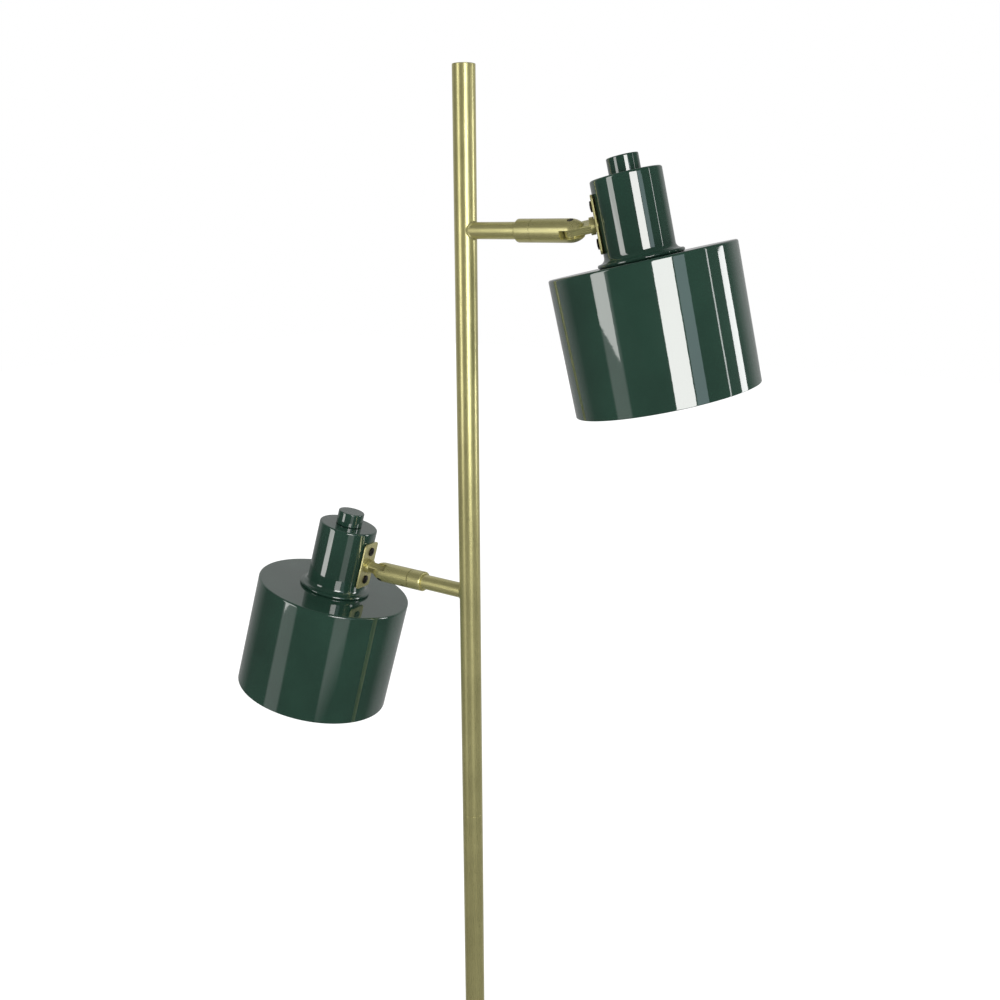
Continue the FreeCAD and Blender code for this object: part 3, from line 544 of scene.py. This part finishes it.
def matt_white(name, base):
    """Powder-coated white inside of a shade."""
    made = Recipe(name, Specular_IOR_Level=0.4)
    spot = made.place()
    made.cloud(spot, base, 0.965, 1.02, 35.0)
    made.worn(spot, 0.50, 0.62, 500.0, 2.0)
    made.to("Normal", made.bump(made.noise(spot, 900.0, 3.0), 0.2, 0.05 * MM))
    return made.material


def opal(name, base):
    """Opal glass: milky inside, glossy outside."""
    made = Recipe(name, Subsurface_Weight=0.35, Subsurface_Scale=0.004, Coat_Weight=0.6,
                  Coat_Roughness=0.06, Coat_IOR=1.5)
    spot = made.place()
    made.cloud(spot, base, 0.97, 1.03, 40.0, 2.0)
    made.worn(spot, 0.24, 0.36, 160.0, 2.0)
    return made.material


def felt(name, base):
    """Pressed felt: cloudy colour, short fibres and no shine."""
    made = Recipe(name, Sheen_Weight=0.35, Sheen_Roughness=0.6, Specular_IOR_Level=0.1)
    spot = made.place()
    made.cloud(spot, base, 0.6, 1.6, 1500.0, 6.0, 0.7)
    made.worn(spot, 0.9, 1.0, 300.0)
    made.to("Normal", made.bump(made.noise(spot, 1500.0, 6.0, 0.7), 0.8, 0.2 * MM))
    return made.material


def cast_iron(name, base):
    """Rough painted casting."""
    made = Recipe(name, Specular_IOR_Level=0.3)
    spot = made.place()
    made.cloud(spot, base, 0.7, 1.3, 700.0, 5.0, 0.65)
    made.worn(spot, 0.62, 0.8, 120.0)
    made.to("Normal", made.bump(made.noise(spot, 700.0, 5.0, 0.65), 0.6, 0.3 * MM))
    return made.material


# ------------------------------------------------------------ pieces
class LAMP_OT_foot(bpy.types.Operator):
    """Models the foot's cover with its rounded rim, its felt pad and its grommet"""

    bl_idname = "lamp.foot"
    bl_label = "Foot"

    def execute(self, context):
        foot, finish = context.scene.lamp_foot, context.scene.lamp_finishes
        low, high = COVER_LOW.z, COVER_HIGH.z
        inner = foot.edge - foot.sheet
        outline = [(foot.stud, high), *arc(foot.radius - foot.edge, high - foot.edge, foot.edge, 90, 0, 8)]
        chamfer = 0.2 * MM
        outline += [(foot.radius, low + chamfer), (foot.radius - chamfer, low),
                    (foot.radius - foot.sheet, low)]
        outline += arc(foot.radius - foot.edge, high - foot.edge, inner, 0, 90, 6)
        outline += [(foot.stud, high - foot.sheet), (foot.stud, high)]
        cover = turned(outline, 256)
        inlet = Matrix.Translation((0, 0, foot.inlet_height)) @ Matrix.Rotation(-math.pi / 2, 4, "X")
        carve(cover, drill(foot.inlet, foot.radius - 4 * MM, foot.radius + 2 * MM, inlet))
        keep(cover, "foot_cover_spun", "stand", "satin_brass", ["foot_cover"],
             turned_brass("brass_foot", finish.brass))

        pad_r, soft = PAD_HIGH.x, 0.5 * MM
        outline = [(0, PAD_LOW.z), *arc(pad_r - soft, PAD_LOW.z + soft, soft, -90, 0, 4)]
        outline += [*arc(pad_r - soft, PAD_HIGH.z - soft, soft, 0, 90, 4), (0, PAD_HIGH.z)]
        pad = turned(outline, 360)
        for vertex in pad.data.vertices:
            if vertex.co.xy.length > pad_r - 3 * soft:
                turn = math.atan2(vertex.co.y, vertex.co.x)
                wave = 0.5 + 0.25 * math.sin(37 * turn) + 0.25 * math.sin(83 * turn + 900 * vertex.co.z)
                vertex.co.xy *= 1 - foot.fuzz * wave / pad_r
        keep(pad, "foot_pad_felt", "stand", "felt", ["foot_pad"], felt("felt", finish.felt))

        bore, lip, soft, gap = 3.3 * MM, 6.45 * MM, 0.5 * MM, 0.05 * MM
        low, high = extent("cord_grommet")
        face, back, wall = high.y, low.y, foot.inlet - gap
        lip_front, lip_back = foot.radius + gap, low.y + 0.75 * MM
        outline = [*arc(bore + soft, face - soft, soft, 180, 90, 4),
                   *arc(lip - soft, face - soft, soft, 90, 0, 4),
                   (lip, lip_front), (wall, lip_front), (wall, lip_back), (lip, lip_back), (lip, back),
                   (bore, back), (bore, face - soft)]
        grommet = turned(outline, 64)
        apply_place(grommet, inlet)
        keep(grommet, "cord_grommet_ring", "stand", "grommet_rubber", ["cord_grommet"],
             moulded("rubber", finish.rubber, 0.62, 1200.0))
        return {"FINISHED"}


class LAMP_OT_pole(bpy.types.Operator):
    """Models the three pole sections with their eased ends, and the plug in the top"""

    bl_idname = "lamp.pole"
    bl_label = "Pole"

    def execute(self, context):
        stand, finish = context.scene.lamp_stand, context.scene.lamp_finishes
        brass = satin_brass("brass_pole", finish.brass, Matrix.Identity(4))
        inner, edge = stand.pole - stand.pole_wall, stand.pole_edge
        for node in ("pole_lower", "pole_middle", "pole_upper"):
            low, high = (corner.z for corner in extent(node))
            outline = [(inner, low), *arc(stand.pole - edge, low + edge, edge, -90, 0, 3),
                       *arc(stand.pole - edge, high - edge, edge, 0, 90, 3), (inner, high), (inner, low)]
            tube = turned(outline, 96)
            if node == "pole_upper":
                for side in SIDES:
                    reach = arm_frame(side) @ Matrix.Rotation(math.pi / 2, 4, "Y")
                    carve(tube, drill(stand.lead_hole, inner - 1 * MM, stand.pole + 1 * MM, reach, 32))
            keep(tube, f"{node}_tube", "stand", "satin_brass", [node], brass)
        low, high = (corner.z for corner in extent("pole_top_plug"))
        plug_r = inner - 0.05 * MM
        outline = [(0, high - 0.15 * MM), (plug_r * 0.5, high - 0.05 * MM),
                   *arc(plug_r - edge, high - edge, edge, 90, 0, 3), (plug_r, low), (0, low)]
        plug = turned(outline, 96)
        keep(plug, "pole_top_disc", "stand", "satin_brass", ["pole_top_plug"],
             turned_brass("brass_plug", finish.brass))
        return {"FINISHED"}


class LAMP_OT_arms(bpy.types.Operator):
    """Models the collars at the arms' ends and the brazed beads at the pole"""

    bl_idname = "lamp.arms"
    bl_label = "Arms"

    def execute(self, context):
        stand, finish = context.scene.lamp_stand, context.scene.lamp_finishes
        collars, beads = [], []
        for side in SIDES:
            place = arm_frame(side) @ Matrix.Rotation(math.pi / 2, 4, "Y")
            end = COLLAR_HIGH.x
            start, bore, bevel, edge = stand.collar_start, stand.collar_bore, stand.collar_bevel, 0.25 * MM
            outline = [(bore, start), (stand.collar - bevel - 0.1 * MM, start),
                       *arc(stand.collar - bevel, start + 0.4 * MM, 0.4 * MM, -90, -45, 2)[1:],
                       *arc(stand.collar - 0.4 * MM, start + bevel, 0.4 * MM, -45, 0, 2),
                       *arc(stand.collar - edge, end - edge, edge, 0, 90, 3), (bore, end), (bore, start)]
            collar = turned(outline, 96)
            apply_place(collar, place)
            collars.append(collar)
            beads.append(self.bead(stand, arm_frame(side)))
        brass = satin_brass("brass_collars", finish.brass, Matrix.Identity(4), (0.02, 1, 1))
        keep(joined(collars), "arm_collar_rings", "stand", "satin_brass", ["arm_collars"], brass)
        keep(joined(beads), "arm_braze_beads", "stand", "satin_brass", [], brass)
        return {"FINISHED"}

    def bead(self, stand, place):
        """A thin ring of braze that follows the pole's curve round the arm."""
        lift = 0.02 * MM
        deselect()
        bpy.ops.mesh.primitive_torus_add(major_segments=96, minor_segments=12, major_radius=stand.arm,
                                         minor_radius=stand.bead, location=(0, 0, 0),
                                         rotation=(0, math.pi / 2, 0))
        bead = bpy.context.object
        bpy.ops.object.transform_apply(rotation=True)
        for vertex in bead.data.vertices:
            ring = max(vertex.co.yz.length, SEAM)
            limit = min(stand.pole - lift, abs(vertex.co.y))
            surface = math.sqrt(stand.pole ** 2 - limit ** 2)
            vertex.co.x = max(vertex.co.x + surface, surface + lift)
            if ring < stand.arm + lift:
                vertex.co.yz *= (stand.arm + lift) / ring
        apply_place(bead, place)
        return bead


class LAMP_OT_screws(bpy.types.Operator):
    """Models one cross-recessed pan-head screw and copies it to both plates"""

    bl_idname = "lamp.screws"
    bl_label = "Plate screws"

    def execute(self, context):
        size, finish = context.scene.lamp_screws, context.scene.lamp_finishes
        shank, tip, reach = 1.95 * MM, 0.4 * MM, SCREW_HIGH.x - PLATE_LOW.x
        edge = 0.35 * size.head_height
        outline = [(0, size.head_height), (0.45 * size.head, 0.95 * size.head_height),
                   (0.72 * size.head, 0.80 * size.head_height),
                   *arc(size.head - edge, edge + 0.12 * size.head_height, edge, 62, 0, 4),
                   (size.head, 0), (shank, 0), (shank, tip - reach), (shank - tip, -reach), (0, -reach)]
        screw = turned(outline, 48)
        for wing in range(2):
            carve(screw, self.wing(size, wing))
        pattern = []
        for side in SIDES:
            pair = []
            for step in (-0.5, 0.5):
                seat = head_frame(side) @ Matrix.Translation((PLATE_LOW.x, 0, step * size.spacing))
                turn = math.radians(20 + 50 * step)
                place = seat @ Matrix.Rotation(-math.pi / 2, 4, "Y") @ Matrix.Rotation(turn, 4, "Z")
                copy = twin(screw)
                apply_place(copy, place)
                pair.append(copy)
            pattern.append((side, joined(pair)))
        pick(screw)
        bpy.ops.object.delete()
        steel = plated("steel_dark", finish.dark_steel, 0.34)
        for side, pair in pattern:
            keep(pair, f"{side}_plate_screw_pair", f"{side}_head", "dark_steel", [f"{side}_plate_screws"],
                 steel)
        return {"FINISHED"}

    def wing(self, size, turn):
        """One tapered wing of the cross recess."""
        deselect()
        bpy.ops.mesh.primitive_cube_add(size=1, location=(0, 0, 0))
        cutter = bpy.context.object
        cutter.scale = (4.4 * MM, size.recess, 2.0 * MM)
        bpy.ops.object.transform_apply(scale=True)
        for vertex in cutter.data.vertices:
            if vertex.co.z < 0:
                vertex.co.x *= 0.45
        seat = Matrix.Translation((0, 0, size.head_height + 0.15 * MM))
        apply_place(cutter, seat @ Matrix.Rotation(turn * math.pi / 2, 4, "Z"))
        return cutter


class LAMP_OT_necks(bpy.types.Operator):
    """Models the spun necks with their flared feet and drilled walls"""

    bl_idname = "lamp.necks"
    bl_label = "Necks"

    def execute(self, context):
        size, finish = context.scene.lamp_neck, context.scene.lamp_finishes
        low, high = NECK_LOW.z, NECK_LOW.z + size.height
        centre, bead_top = size.foot - size.bead, low + 2 * size.bead
        flare = centre - size.radius
        skin, corner = size.radius - size.wall, size.radius - size.edge
        outline = [(centre, low), *arc(centre, low + size.bead, size.bead, -90, 90, 10)[1:],
                   *arc(centre, bead_top + flare, flare, 270, 180, 12)[1:],
                   (size.radius, -size.drilled), (size.radius, size.drilled),
                   *arc(corner, high - size.edge, size.edge, 0, 90, 8),
                   (size.hole, high), (size.hole, high - size.wall),
                   *arc(corner, high - size.edge, size.edge - size.wall, 90, 0, 3),
                   (skin, size.drilled), (skin, -size.drilled)]
        hollow = arc(centre, bead_top + flare, flare + size.wall, 180, 225, 6)
        outline += [*hollow, (hollow[-1][0], low), (centre, low)]
        pattern = turned(outline, 160)
        turn = Matrix.Rotation(-math.pi / 2, 4, "Y")
        screw = context.scene.lamp_screws.spacing / 2
        for radius, height in ((size.swivel_hole, 0), (size.screw_hole, screw), (size.screw_hole, -screw)):
            place = Matrix.Translation((0, 0, height)) @ turn
            carve(pattern, drill(radius, 20 * MM, 30 * MM, place, 40))
        green = lacquer("lacquer_neck", finish.lacquer)
        both_heads(pattern, "neck_spun", "neck", "head", "green_lacquer", green)
        return {"FINISHED"}


class LAMP_OT_knobs(bpy.types.Operator):
    """Models the round switch knobs, hollow below"""

    bl_idname = "lamp.knobs"
    bl_label = "Knobs"

    def execute(self, context):
        size, finish = context.scene.lamp_knob, context.scene.lamp_finishes
        low, high, edge = KNOB_LOW.z, KNOB_HIGH.z, size.edge
        seat, deep, foot = 3.02 * MM, 6 * MM, 0.4 * MM
        roof = low + size.recess_depth
        outline = [(0, high - 0.05 * MM), (0.6 * size.radius, high),
                   *arc(size.radius - edge, high - edge, edge, 90, 0, 6),
                   *arc(size.radius - foot, low + foot, foot, 0, -90, 4),
                   (size.recess, low), (size.recess, roof), (seat, roof), (seat, roof + deep),
                   (0, roof + deep)]
        pattern = turned(outline, 96)
        green = lacquer("lacquer_knob", finish.lacquer)
        both_heads(pattern, "knob_round", "knob", "knob", "green_lacquer", green)
        return {"FINISHED"}


class LAMP_OT_shades(bpy.types.Operator):
    """Models the drum shades with their rounded top edge and turned-in hem"""

    bl_idname = "lamp.shades"
    bl_label = "Shades"

    def execute(self, context):
        size, finish = context.scene.lamp_shade, context.scene.lamp_finishes
        top, rim = -size.top, -size.top - size.height
        wall, hem = size.radius - size.wall, size.radius - size.wall - size.hem
        roll, centre = 0.35 * MM, size.radius - size.edge
        outline = [(size.hole, top), *arc(centre, top - size.edge, size.edge, 90, 0, 8),
                   *arc(size.radius - roll, rim + roll, roll, 0, -90, 4),
                   *arc(hem + roll, rim + roll, roll, -90, -180, 4),
                   (hem, rim + size.hem_height), (wall, rim + size.hem_height + size.hem),
                   *arc(centre, top - size.edge, size.edge - size.wall, 0, 90, 5),
                   (size.hole, top - size.wall), (size.hole, top)]
        pattern = turned(outline, 192)
        inside, hole_edge = size.radius - 0.5 * size.wall, size.hole + size.wall

        def is_inside(spot, normal):
            if spot.xy.length >= inside:
                return False
            if normal.z < -0.5 and spot.z > rim + size.wall:
                return True
            return spot.xy.dot(normal.xy) < 0 and spot.z > rim + roll and spot.xy.length > hole_edge

        paint_faces(pattern, 1, is_inside)
        green = lacquer("lacquer_shade", finish.lacquer)
        white = matt_white("white_inside", finish.inside)
        both_heads(pattern, "shade_drum", "shade", "head", "shade_lacquer", green, white)
        return {"FINISHED"}


class LAMP_OT_bulbs(bpy.types.Operator):
    """Models the opal bulbs and their ridged screw caps"""

    bl_idname = "lamp.bulbs"
    bl_label = "Bulbs"

    def execute(self, context):
        size, finish = context.scene.lamp_bulb, context.scene.lamp_finishes
        top, foot = GLASS_HIGH.z, GLASS_LOW.z
        middle = foot + size.radius
        shoulder = top - 4 * MM
        tilt = math.degrees(math.atan2(shoulder - middle, size.neck)
                            - math.acos(size.radius / math.hypot(size.neck, shoulder - middle)))
        wall = 0.9 * MM
        outline = [(size.neck - wall, top), (size.neck, top), (size.neck, shoulder),
                   *arc(0, middle, size.radius, tilt, -89.999, 40)]
        share = (size.radius - wall) / size.radius
        inner = [(r * share, middle + (z - middle) * share) for r, z in reversed(outline[3:])]
        outline += [*inner, (size.neck - wall, shoulder), (size.neck - wall, top)]
        glass = turned(outline, 96)
        white = opal("opal_glass", finish.glass)
        low, high = CAP_LOW.z, CAP_HIGH.z
        contact = high - 2 * MM
        ridge, turns = 0.35 * MM, 4
        rings = []
        for turn in range(turns * 6 + 1):
            z = low + 6 * MM + size.thread * turn / 6
            rings.append((size.cap - ridge + ridge * math.cos(turn * math.pi / 3), z))
        bore, button = size.neck + 0.05 * MM, 0.8 * MM
        outline = [(bore, low), (size.cap, low), (size.cap, low + 4.5 * MM), *rings,
                   (size.cap, contact - 3.6 * MM), (size.contact + 0.6 * MM, contact),
                   (size.contact, contact),
                   *arc(size.contact - button, high - button, button, 0, 90, 4), (0, high),
                   (0, low + 2 * MM), (bore, low + 2 * MM), (bore, low)]
        cap = turned(outline, 72)
        nickel = plated("nickel_cap", finish.cap, 0.26)
        both_heads(glass, "bulb_globe", "bulb_glass", "head", "opal_glass", white)
        both_heads(cap, "bulb_screw_cap", "bulb_cap", "head", "cap_metal", nickel)
        return {"FINISHED"}


class LAMP_OT_finishes(bpy.types.Operator):
    """Gives every CAD node that still shows its finish"""

    bl_idname = "lamp.finishes"
    bl_label = "Finishes"

    def execute(self, context):
        finish = context.scene.lamp_finishes
        steel = plated("steel_plated", finish.steel, 0.32)
        dark = bpy.data.materials["steel_dark"]
        plastic = moulded("plastic_dark", finish.plastic, 0.42, 1600.0)
        mapped = {
            "foot_weight": cast_iron("cast_iron", finish.iron),
            "supply_leads": moulded("lead_skin", finish.lead, 0.5, 900.0),
            "terminal_block": plastic,
            "upper_arm": satin_brass("brass_upper_arm", finish.brass, arm_frame("upper"), (0.02, 1, 1)),
            "lower_arm": satin_brass("brass_lower_arm", finish.brass, arm_frame("lower"), (0.02, 1, 1)),
        }
        for side in SIDES:
            for piece, place, stretch in (("sleeve", sleeve_frame(side), (0.02, 1, 1)),
                                          ("tongue", tongue_frame(side), (0.02, 1, 1)),
                                          ("mount_plate", head_frame(side), (1, 1, 0.02))):
                mapped[f"{side}_{piece}"] = satin_brass(f"brass_{side}_{piece}", finish.brass, place, stretch)
            for piece in ("switch", "lampholder_cap", "lampholder_body", "shade_ring"):
                mapped[f"{side}_{piece}"] = plastic
            for piece in ("grub_screw", "knuckle_pin"):
                mapped[f"{side}_{piece}"] = dark
        for name, node in frame["nodes"].items():
            node.data.materials.clear()
            node.data.materials.append(mapped.get(name, steel))
        return {"FINISHED"}


MAIN_SECTOR = (17, 22)
LEFT_SECTOR = (-58.5, 19)


class LAMP_OT_studio(bpy.types.Operator):
    """Sets up the pale floor, the white room, the light panels and the camera"""

    bl_idname = "lamp.studio"
    bl_label = "Studio"

    def execute(self, context):
        self.studio = context.scene.lamp_studio
        azimuth = self.studio.azimuth
        self.right = Vector((math.cos(azimuth), math.sin(azimuth), 0))
        self.front = Vector((math.sin(azimuth), -math.cos(azimuth), 0))
        self.floor()
        self.room()
        self.panels()
        self.camera()
        context.scene.view_settings.view_transform = "Standard"
        return {"FINISHED"}

    def behind(self, nodes, vector):
        """How far a direction points away from the camera, from 0 to 1."""
        dot = nodes.vector("DOT_PRODUCT", vector, -self.front).outputs["Value"]
        return nodes.range(dot, 0.0, 1.0, -1.0, 1.0)

    def floor(self):
        studio = self.studio
        deselect()
        bpy.ops.mesh.primitive_grid_add(x_subdivisions=8, y_subdivisions=8, size=2 * studio.floor,
                                        location=(0, 0, 0))
        floor = bpy.context.object
        floor.name = "floor"
        recipe = Recipe("floor_white", Roughness=0.9, Specular_IOR_Level=0.0)
        spot = recipe.add("TexCoord").outputs["Object"]
        recipe.to("Base Color", recipe.range(recipe.noise(spot, 3.0), 0.78, 0.82))
        white = recipe.add("Emission", Color=(1, 1, 1, 1), Strength=studio.floor_white)
        soft = recipe.add("BsdfDiffuse", Color=(*[studio.floor_soft] * 3, 1))
        seen = recipe.add("AddShader", (), white.outputs[0], soft.outputs[0])
        # What mirrors see of the floor is painted light: painted shade on the camera's side, brighter behind,
        # and a painted glow before the panels.
        away = recipe.vector("NORMALIZE", spot).outputs[0]
        grey = recipe.ramp(self.behind(recipe, away),
                           ((0.0, 0.04), (0.66, studio.floor_dim), (0.84, 0.30), (1.0, 0.38)))
        mirrored = recipe.add("Emission", Color=grey, Strength=self.glow(recipe, spot, away))
        recipe.by_ray(recipe.shader, mirrored, seen, "Material Output")
        floor.data.materials.append(recipe.material)

    def glow(self, recipe, spot, away):
        """Strength of the floor's painted reflection: a painted glow, brighter in two sectors before the
        panels, past the foot.
        """
        near, far = 1.3, 1.7
        past = recipe.range(recipe.vector("LENGTH", spot).outputs["Value"], 0.0, 1.0, near, far)
        strength = 1.0
        for azimuth, wide in (MAIN_SECTOR, LEFT_SECTOR):
            turn = math.radians(azimuth)
            middle = self.front * math.cos(turn) + self.right * math.sin(turn)
            dot = recipe.vector("DOT_PRODUCT", away, middle).outputs["Value"]
            low, high = (math.cos(math.radians(wide / 2 + soft)) for soft in (2, -1))
            # Each sector adds painted light from a panel to the floor's mirrored emission.
            sector = recipe.range(dot, 0.0, self.studio.painted_floor_glow / self.studio.floor_dim, low, high)
            strength = recipe.math("ADD", recipe.math("MULTIPLY", sector, past), strength)
        return strength

    def room(self):
        """White behind the lamp, dim on the camera's side, white wherever the camera looks."""
        world = bpy.data.worlds.new("studio_room")
        bpy.context.scene.world = world
        world.use_nodes = True
        nodes = Nodes(world.node_tree)
        away = self.behind(nodes, nodes.add("TexCoord").outputs["Generated"])
        grey = nodes.ramp(away, ((0.0, 0.03), (0.66, 0.05), (0.82, 0.38), (1.0, 0.44)))
        seen = nodes.add("Background", Color=(1, 1, 1, 1), Strength=1.0)
        mirrored = nodes.add("Background", Color=grey, Strength=1.0)
        even = nodes.add("Background", Color=(1, 1, 1, 1), Strength=self.studio.level)
        nodes.by_ray(even, mirrored, seen, "World Output")

    def panels(self):
        """Upright light panels. Azimuths, from the camera, and widths and edges are in degrees."""
        studio = self.studio
        middle, distance = Vector((0, 0, 1.25)), 2.4
        panels = (
            ("panel_main", *MAIN_SECTOR, -13, 16, studio.key, (1.0, 0.99, 0.97)),
            ("panel_cool", 36, 13, -14, 16, 0.14 * studio.key, (0.76, 0.92, 1.0)),
            ("panel_left", *LEFT_SECTOR, -14, 22, studio.side, (1.0, 0.99, 0.96)),
            ("strip_thin", 71, 1.8, -15, 30, 0.6 * studio.strip, (1, 1, 1)),
            ("strip_wide", 94, 11, -16, 12, studio.strip, (1, 1, 1)),
        )
        for name, azimuth, wide, low, high, level, tint in panels:
            turn = math.radians(azimuth)
            away = self.front * math.cos(turn) + self.right * math.sin(turn)
            low, high = (distance * math.tan(math.radians(angle)) for angle in (low, high))
            lamp = bpy.data.lights.new(name, "AREA")
            lamp.shape, lamp.size_y = "RECTANGLE", high - low
            lamp.size = 2 * distance * math.tan(math.radians(wide / 2))
            lamp.color = tint
            lamp.energy = level * math.pi * lamp.size * lamp.size_y
            panel = bpy.data.objects.new(name, lamp)
            panel.matrix_world = away.to_track_quat("Z", "Y").to_matrix().to_4x4()
            panel.location = middle + away * distance + Vector((0, 0, (low + high) / 2))
            panel.visible_camera = False
            bpy.context.scene.collection.objects.link(panel)

    def camera(self):
        studio = self.studio
        ahead = -self.front * math.cos(studio.pitch) - Vector((0, 0, math.sin(studio.pitch)))
        over = -self.front * math.sin(studio.pitch) + Vector((0, 0, math.cos(studio.pitch)))
        lean = Matrix.Rotation(studio.roll, 3, -ahead)
        data = bpy.data.cameras.new("camera")
        data.sensor_width, data.lens = 36.0, studio.lens
        data.clip_start, data.clip_end = 0.05, 60.0
        camera = bpy.data.objects.new("camera", data)
        camera.matrix_world = Matrix((lean @ self.right, lean @ over, -ahead)).transposed().to_4x4()
        camera.location = studio.camera
        bpy.context.scene.collection.objects.link(camera)
        bpy.context.scene.camera = camera


class LAMP_PT_panel(bpy.types.Panel):
    """Lists the lamp's pieces, sizes and finishes"""

    bl_label = "Pole lamp"
    bl_idname = "LAMP_PT_panel"
    bl_space_type = "VIEW_3D"
    bl_region_type = "UI"
    bl_category = "Pole lamp"

    def draw(self, context):
        for title, group, operators in SECTIONS:
            box = self.layout.box()
            box.label(text=title)
            settings = getattr(context.scene, group)
            for key in settings.bl_rna.properties.keys():
                if key not in ("rna_type", "name"):
                    box.prop(settings, key)
            for operator in operators:
                box.operator(operator)


SECTIONS = (
    ("Foot", "lamp_foot", ("lamp.foot",)),
    ("Pole and arms", "lamp_stand", ("lamp.pole", "lamp.arms")),
    ("Plate screws", "lamp_screws", ("lamp.screws",)),
    ("Necks", "lamp_neck", ("lamp.necks",)),
    ("Knobs", "lamp_knob", ("lamp.knobs",)),
    ("Shades", "lamp_shade", ("lamp.shades",)),
    ("Bulbs", "lamp_bulb", ("lamp.bulbs",)),
    ("Finishes", "lamp_finishes", ("lamp.finishes",)),
    ("Studio", "lamp_studio", ("lamp.studio",)),
)
GROUPS = {"lamp_foot": FootSizes, "lamp_stand": StandSizes, "lamp_screws": ScrewSizes, "lamp_neck": NeckSizes,
          "lamp_knob": KnobSizes, "lamp_shade": ShadeSizes, "lamp_bulb": BulbSizes, "lamp_finishes": Finishes,
          "lamp_studio": StudioSettings}
OPERATORS = (LAMP_OT_foot, LAMP_OT_pole, LAMP_OT_arms, LAMP_OT_screws, LAMP_OT_necks, LAMP_OT_knobs,
             LAMP_OT_shades, LAMP_OT_bulbs, LAMP_OT_finishes, LAMP_OT_studio)


def register():
    for made in (*GROUPS.values(), *OPERATORS, LAMP_PT_panel):
        bpy.utils.register_class(made)
    for name, group in GROUPS.items():
        setattr(bpy.types.Scene, name, PointerProperty(type=group))


def unregister():
    for name in GROUPS:
        delattr(bpy.types.Scene, name)
    for made in (LAMP_PT_panel, *reversed(OPERATORS), *reversed(list(GROUPS.values()))):
        bpy.utils.unregister_class(made)


def main():
    register()
    for _, _, operators in SECTIONS:
        for operator in operators:
            group, name = operator.split(".")
            getattr(getattr(bpy.ops, group), name)()


if __name__ == "__main__":
    main()
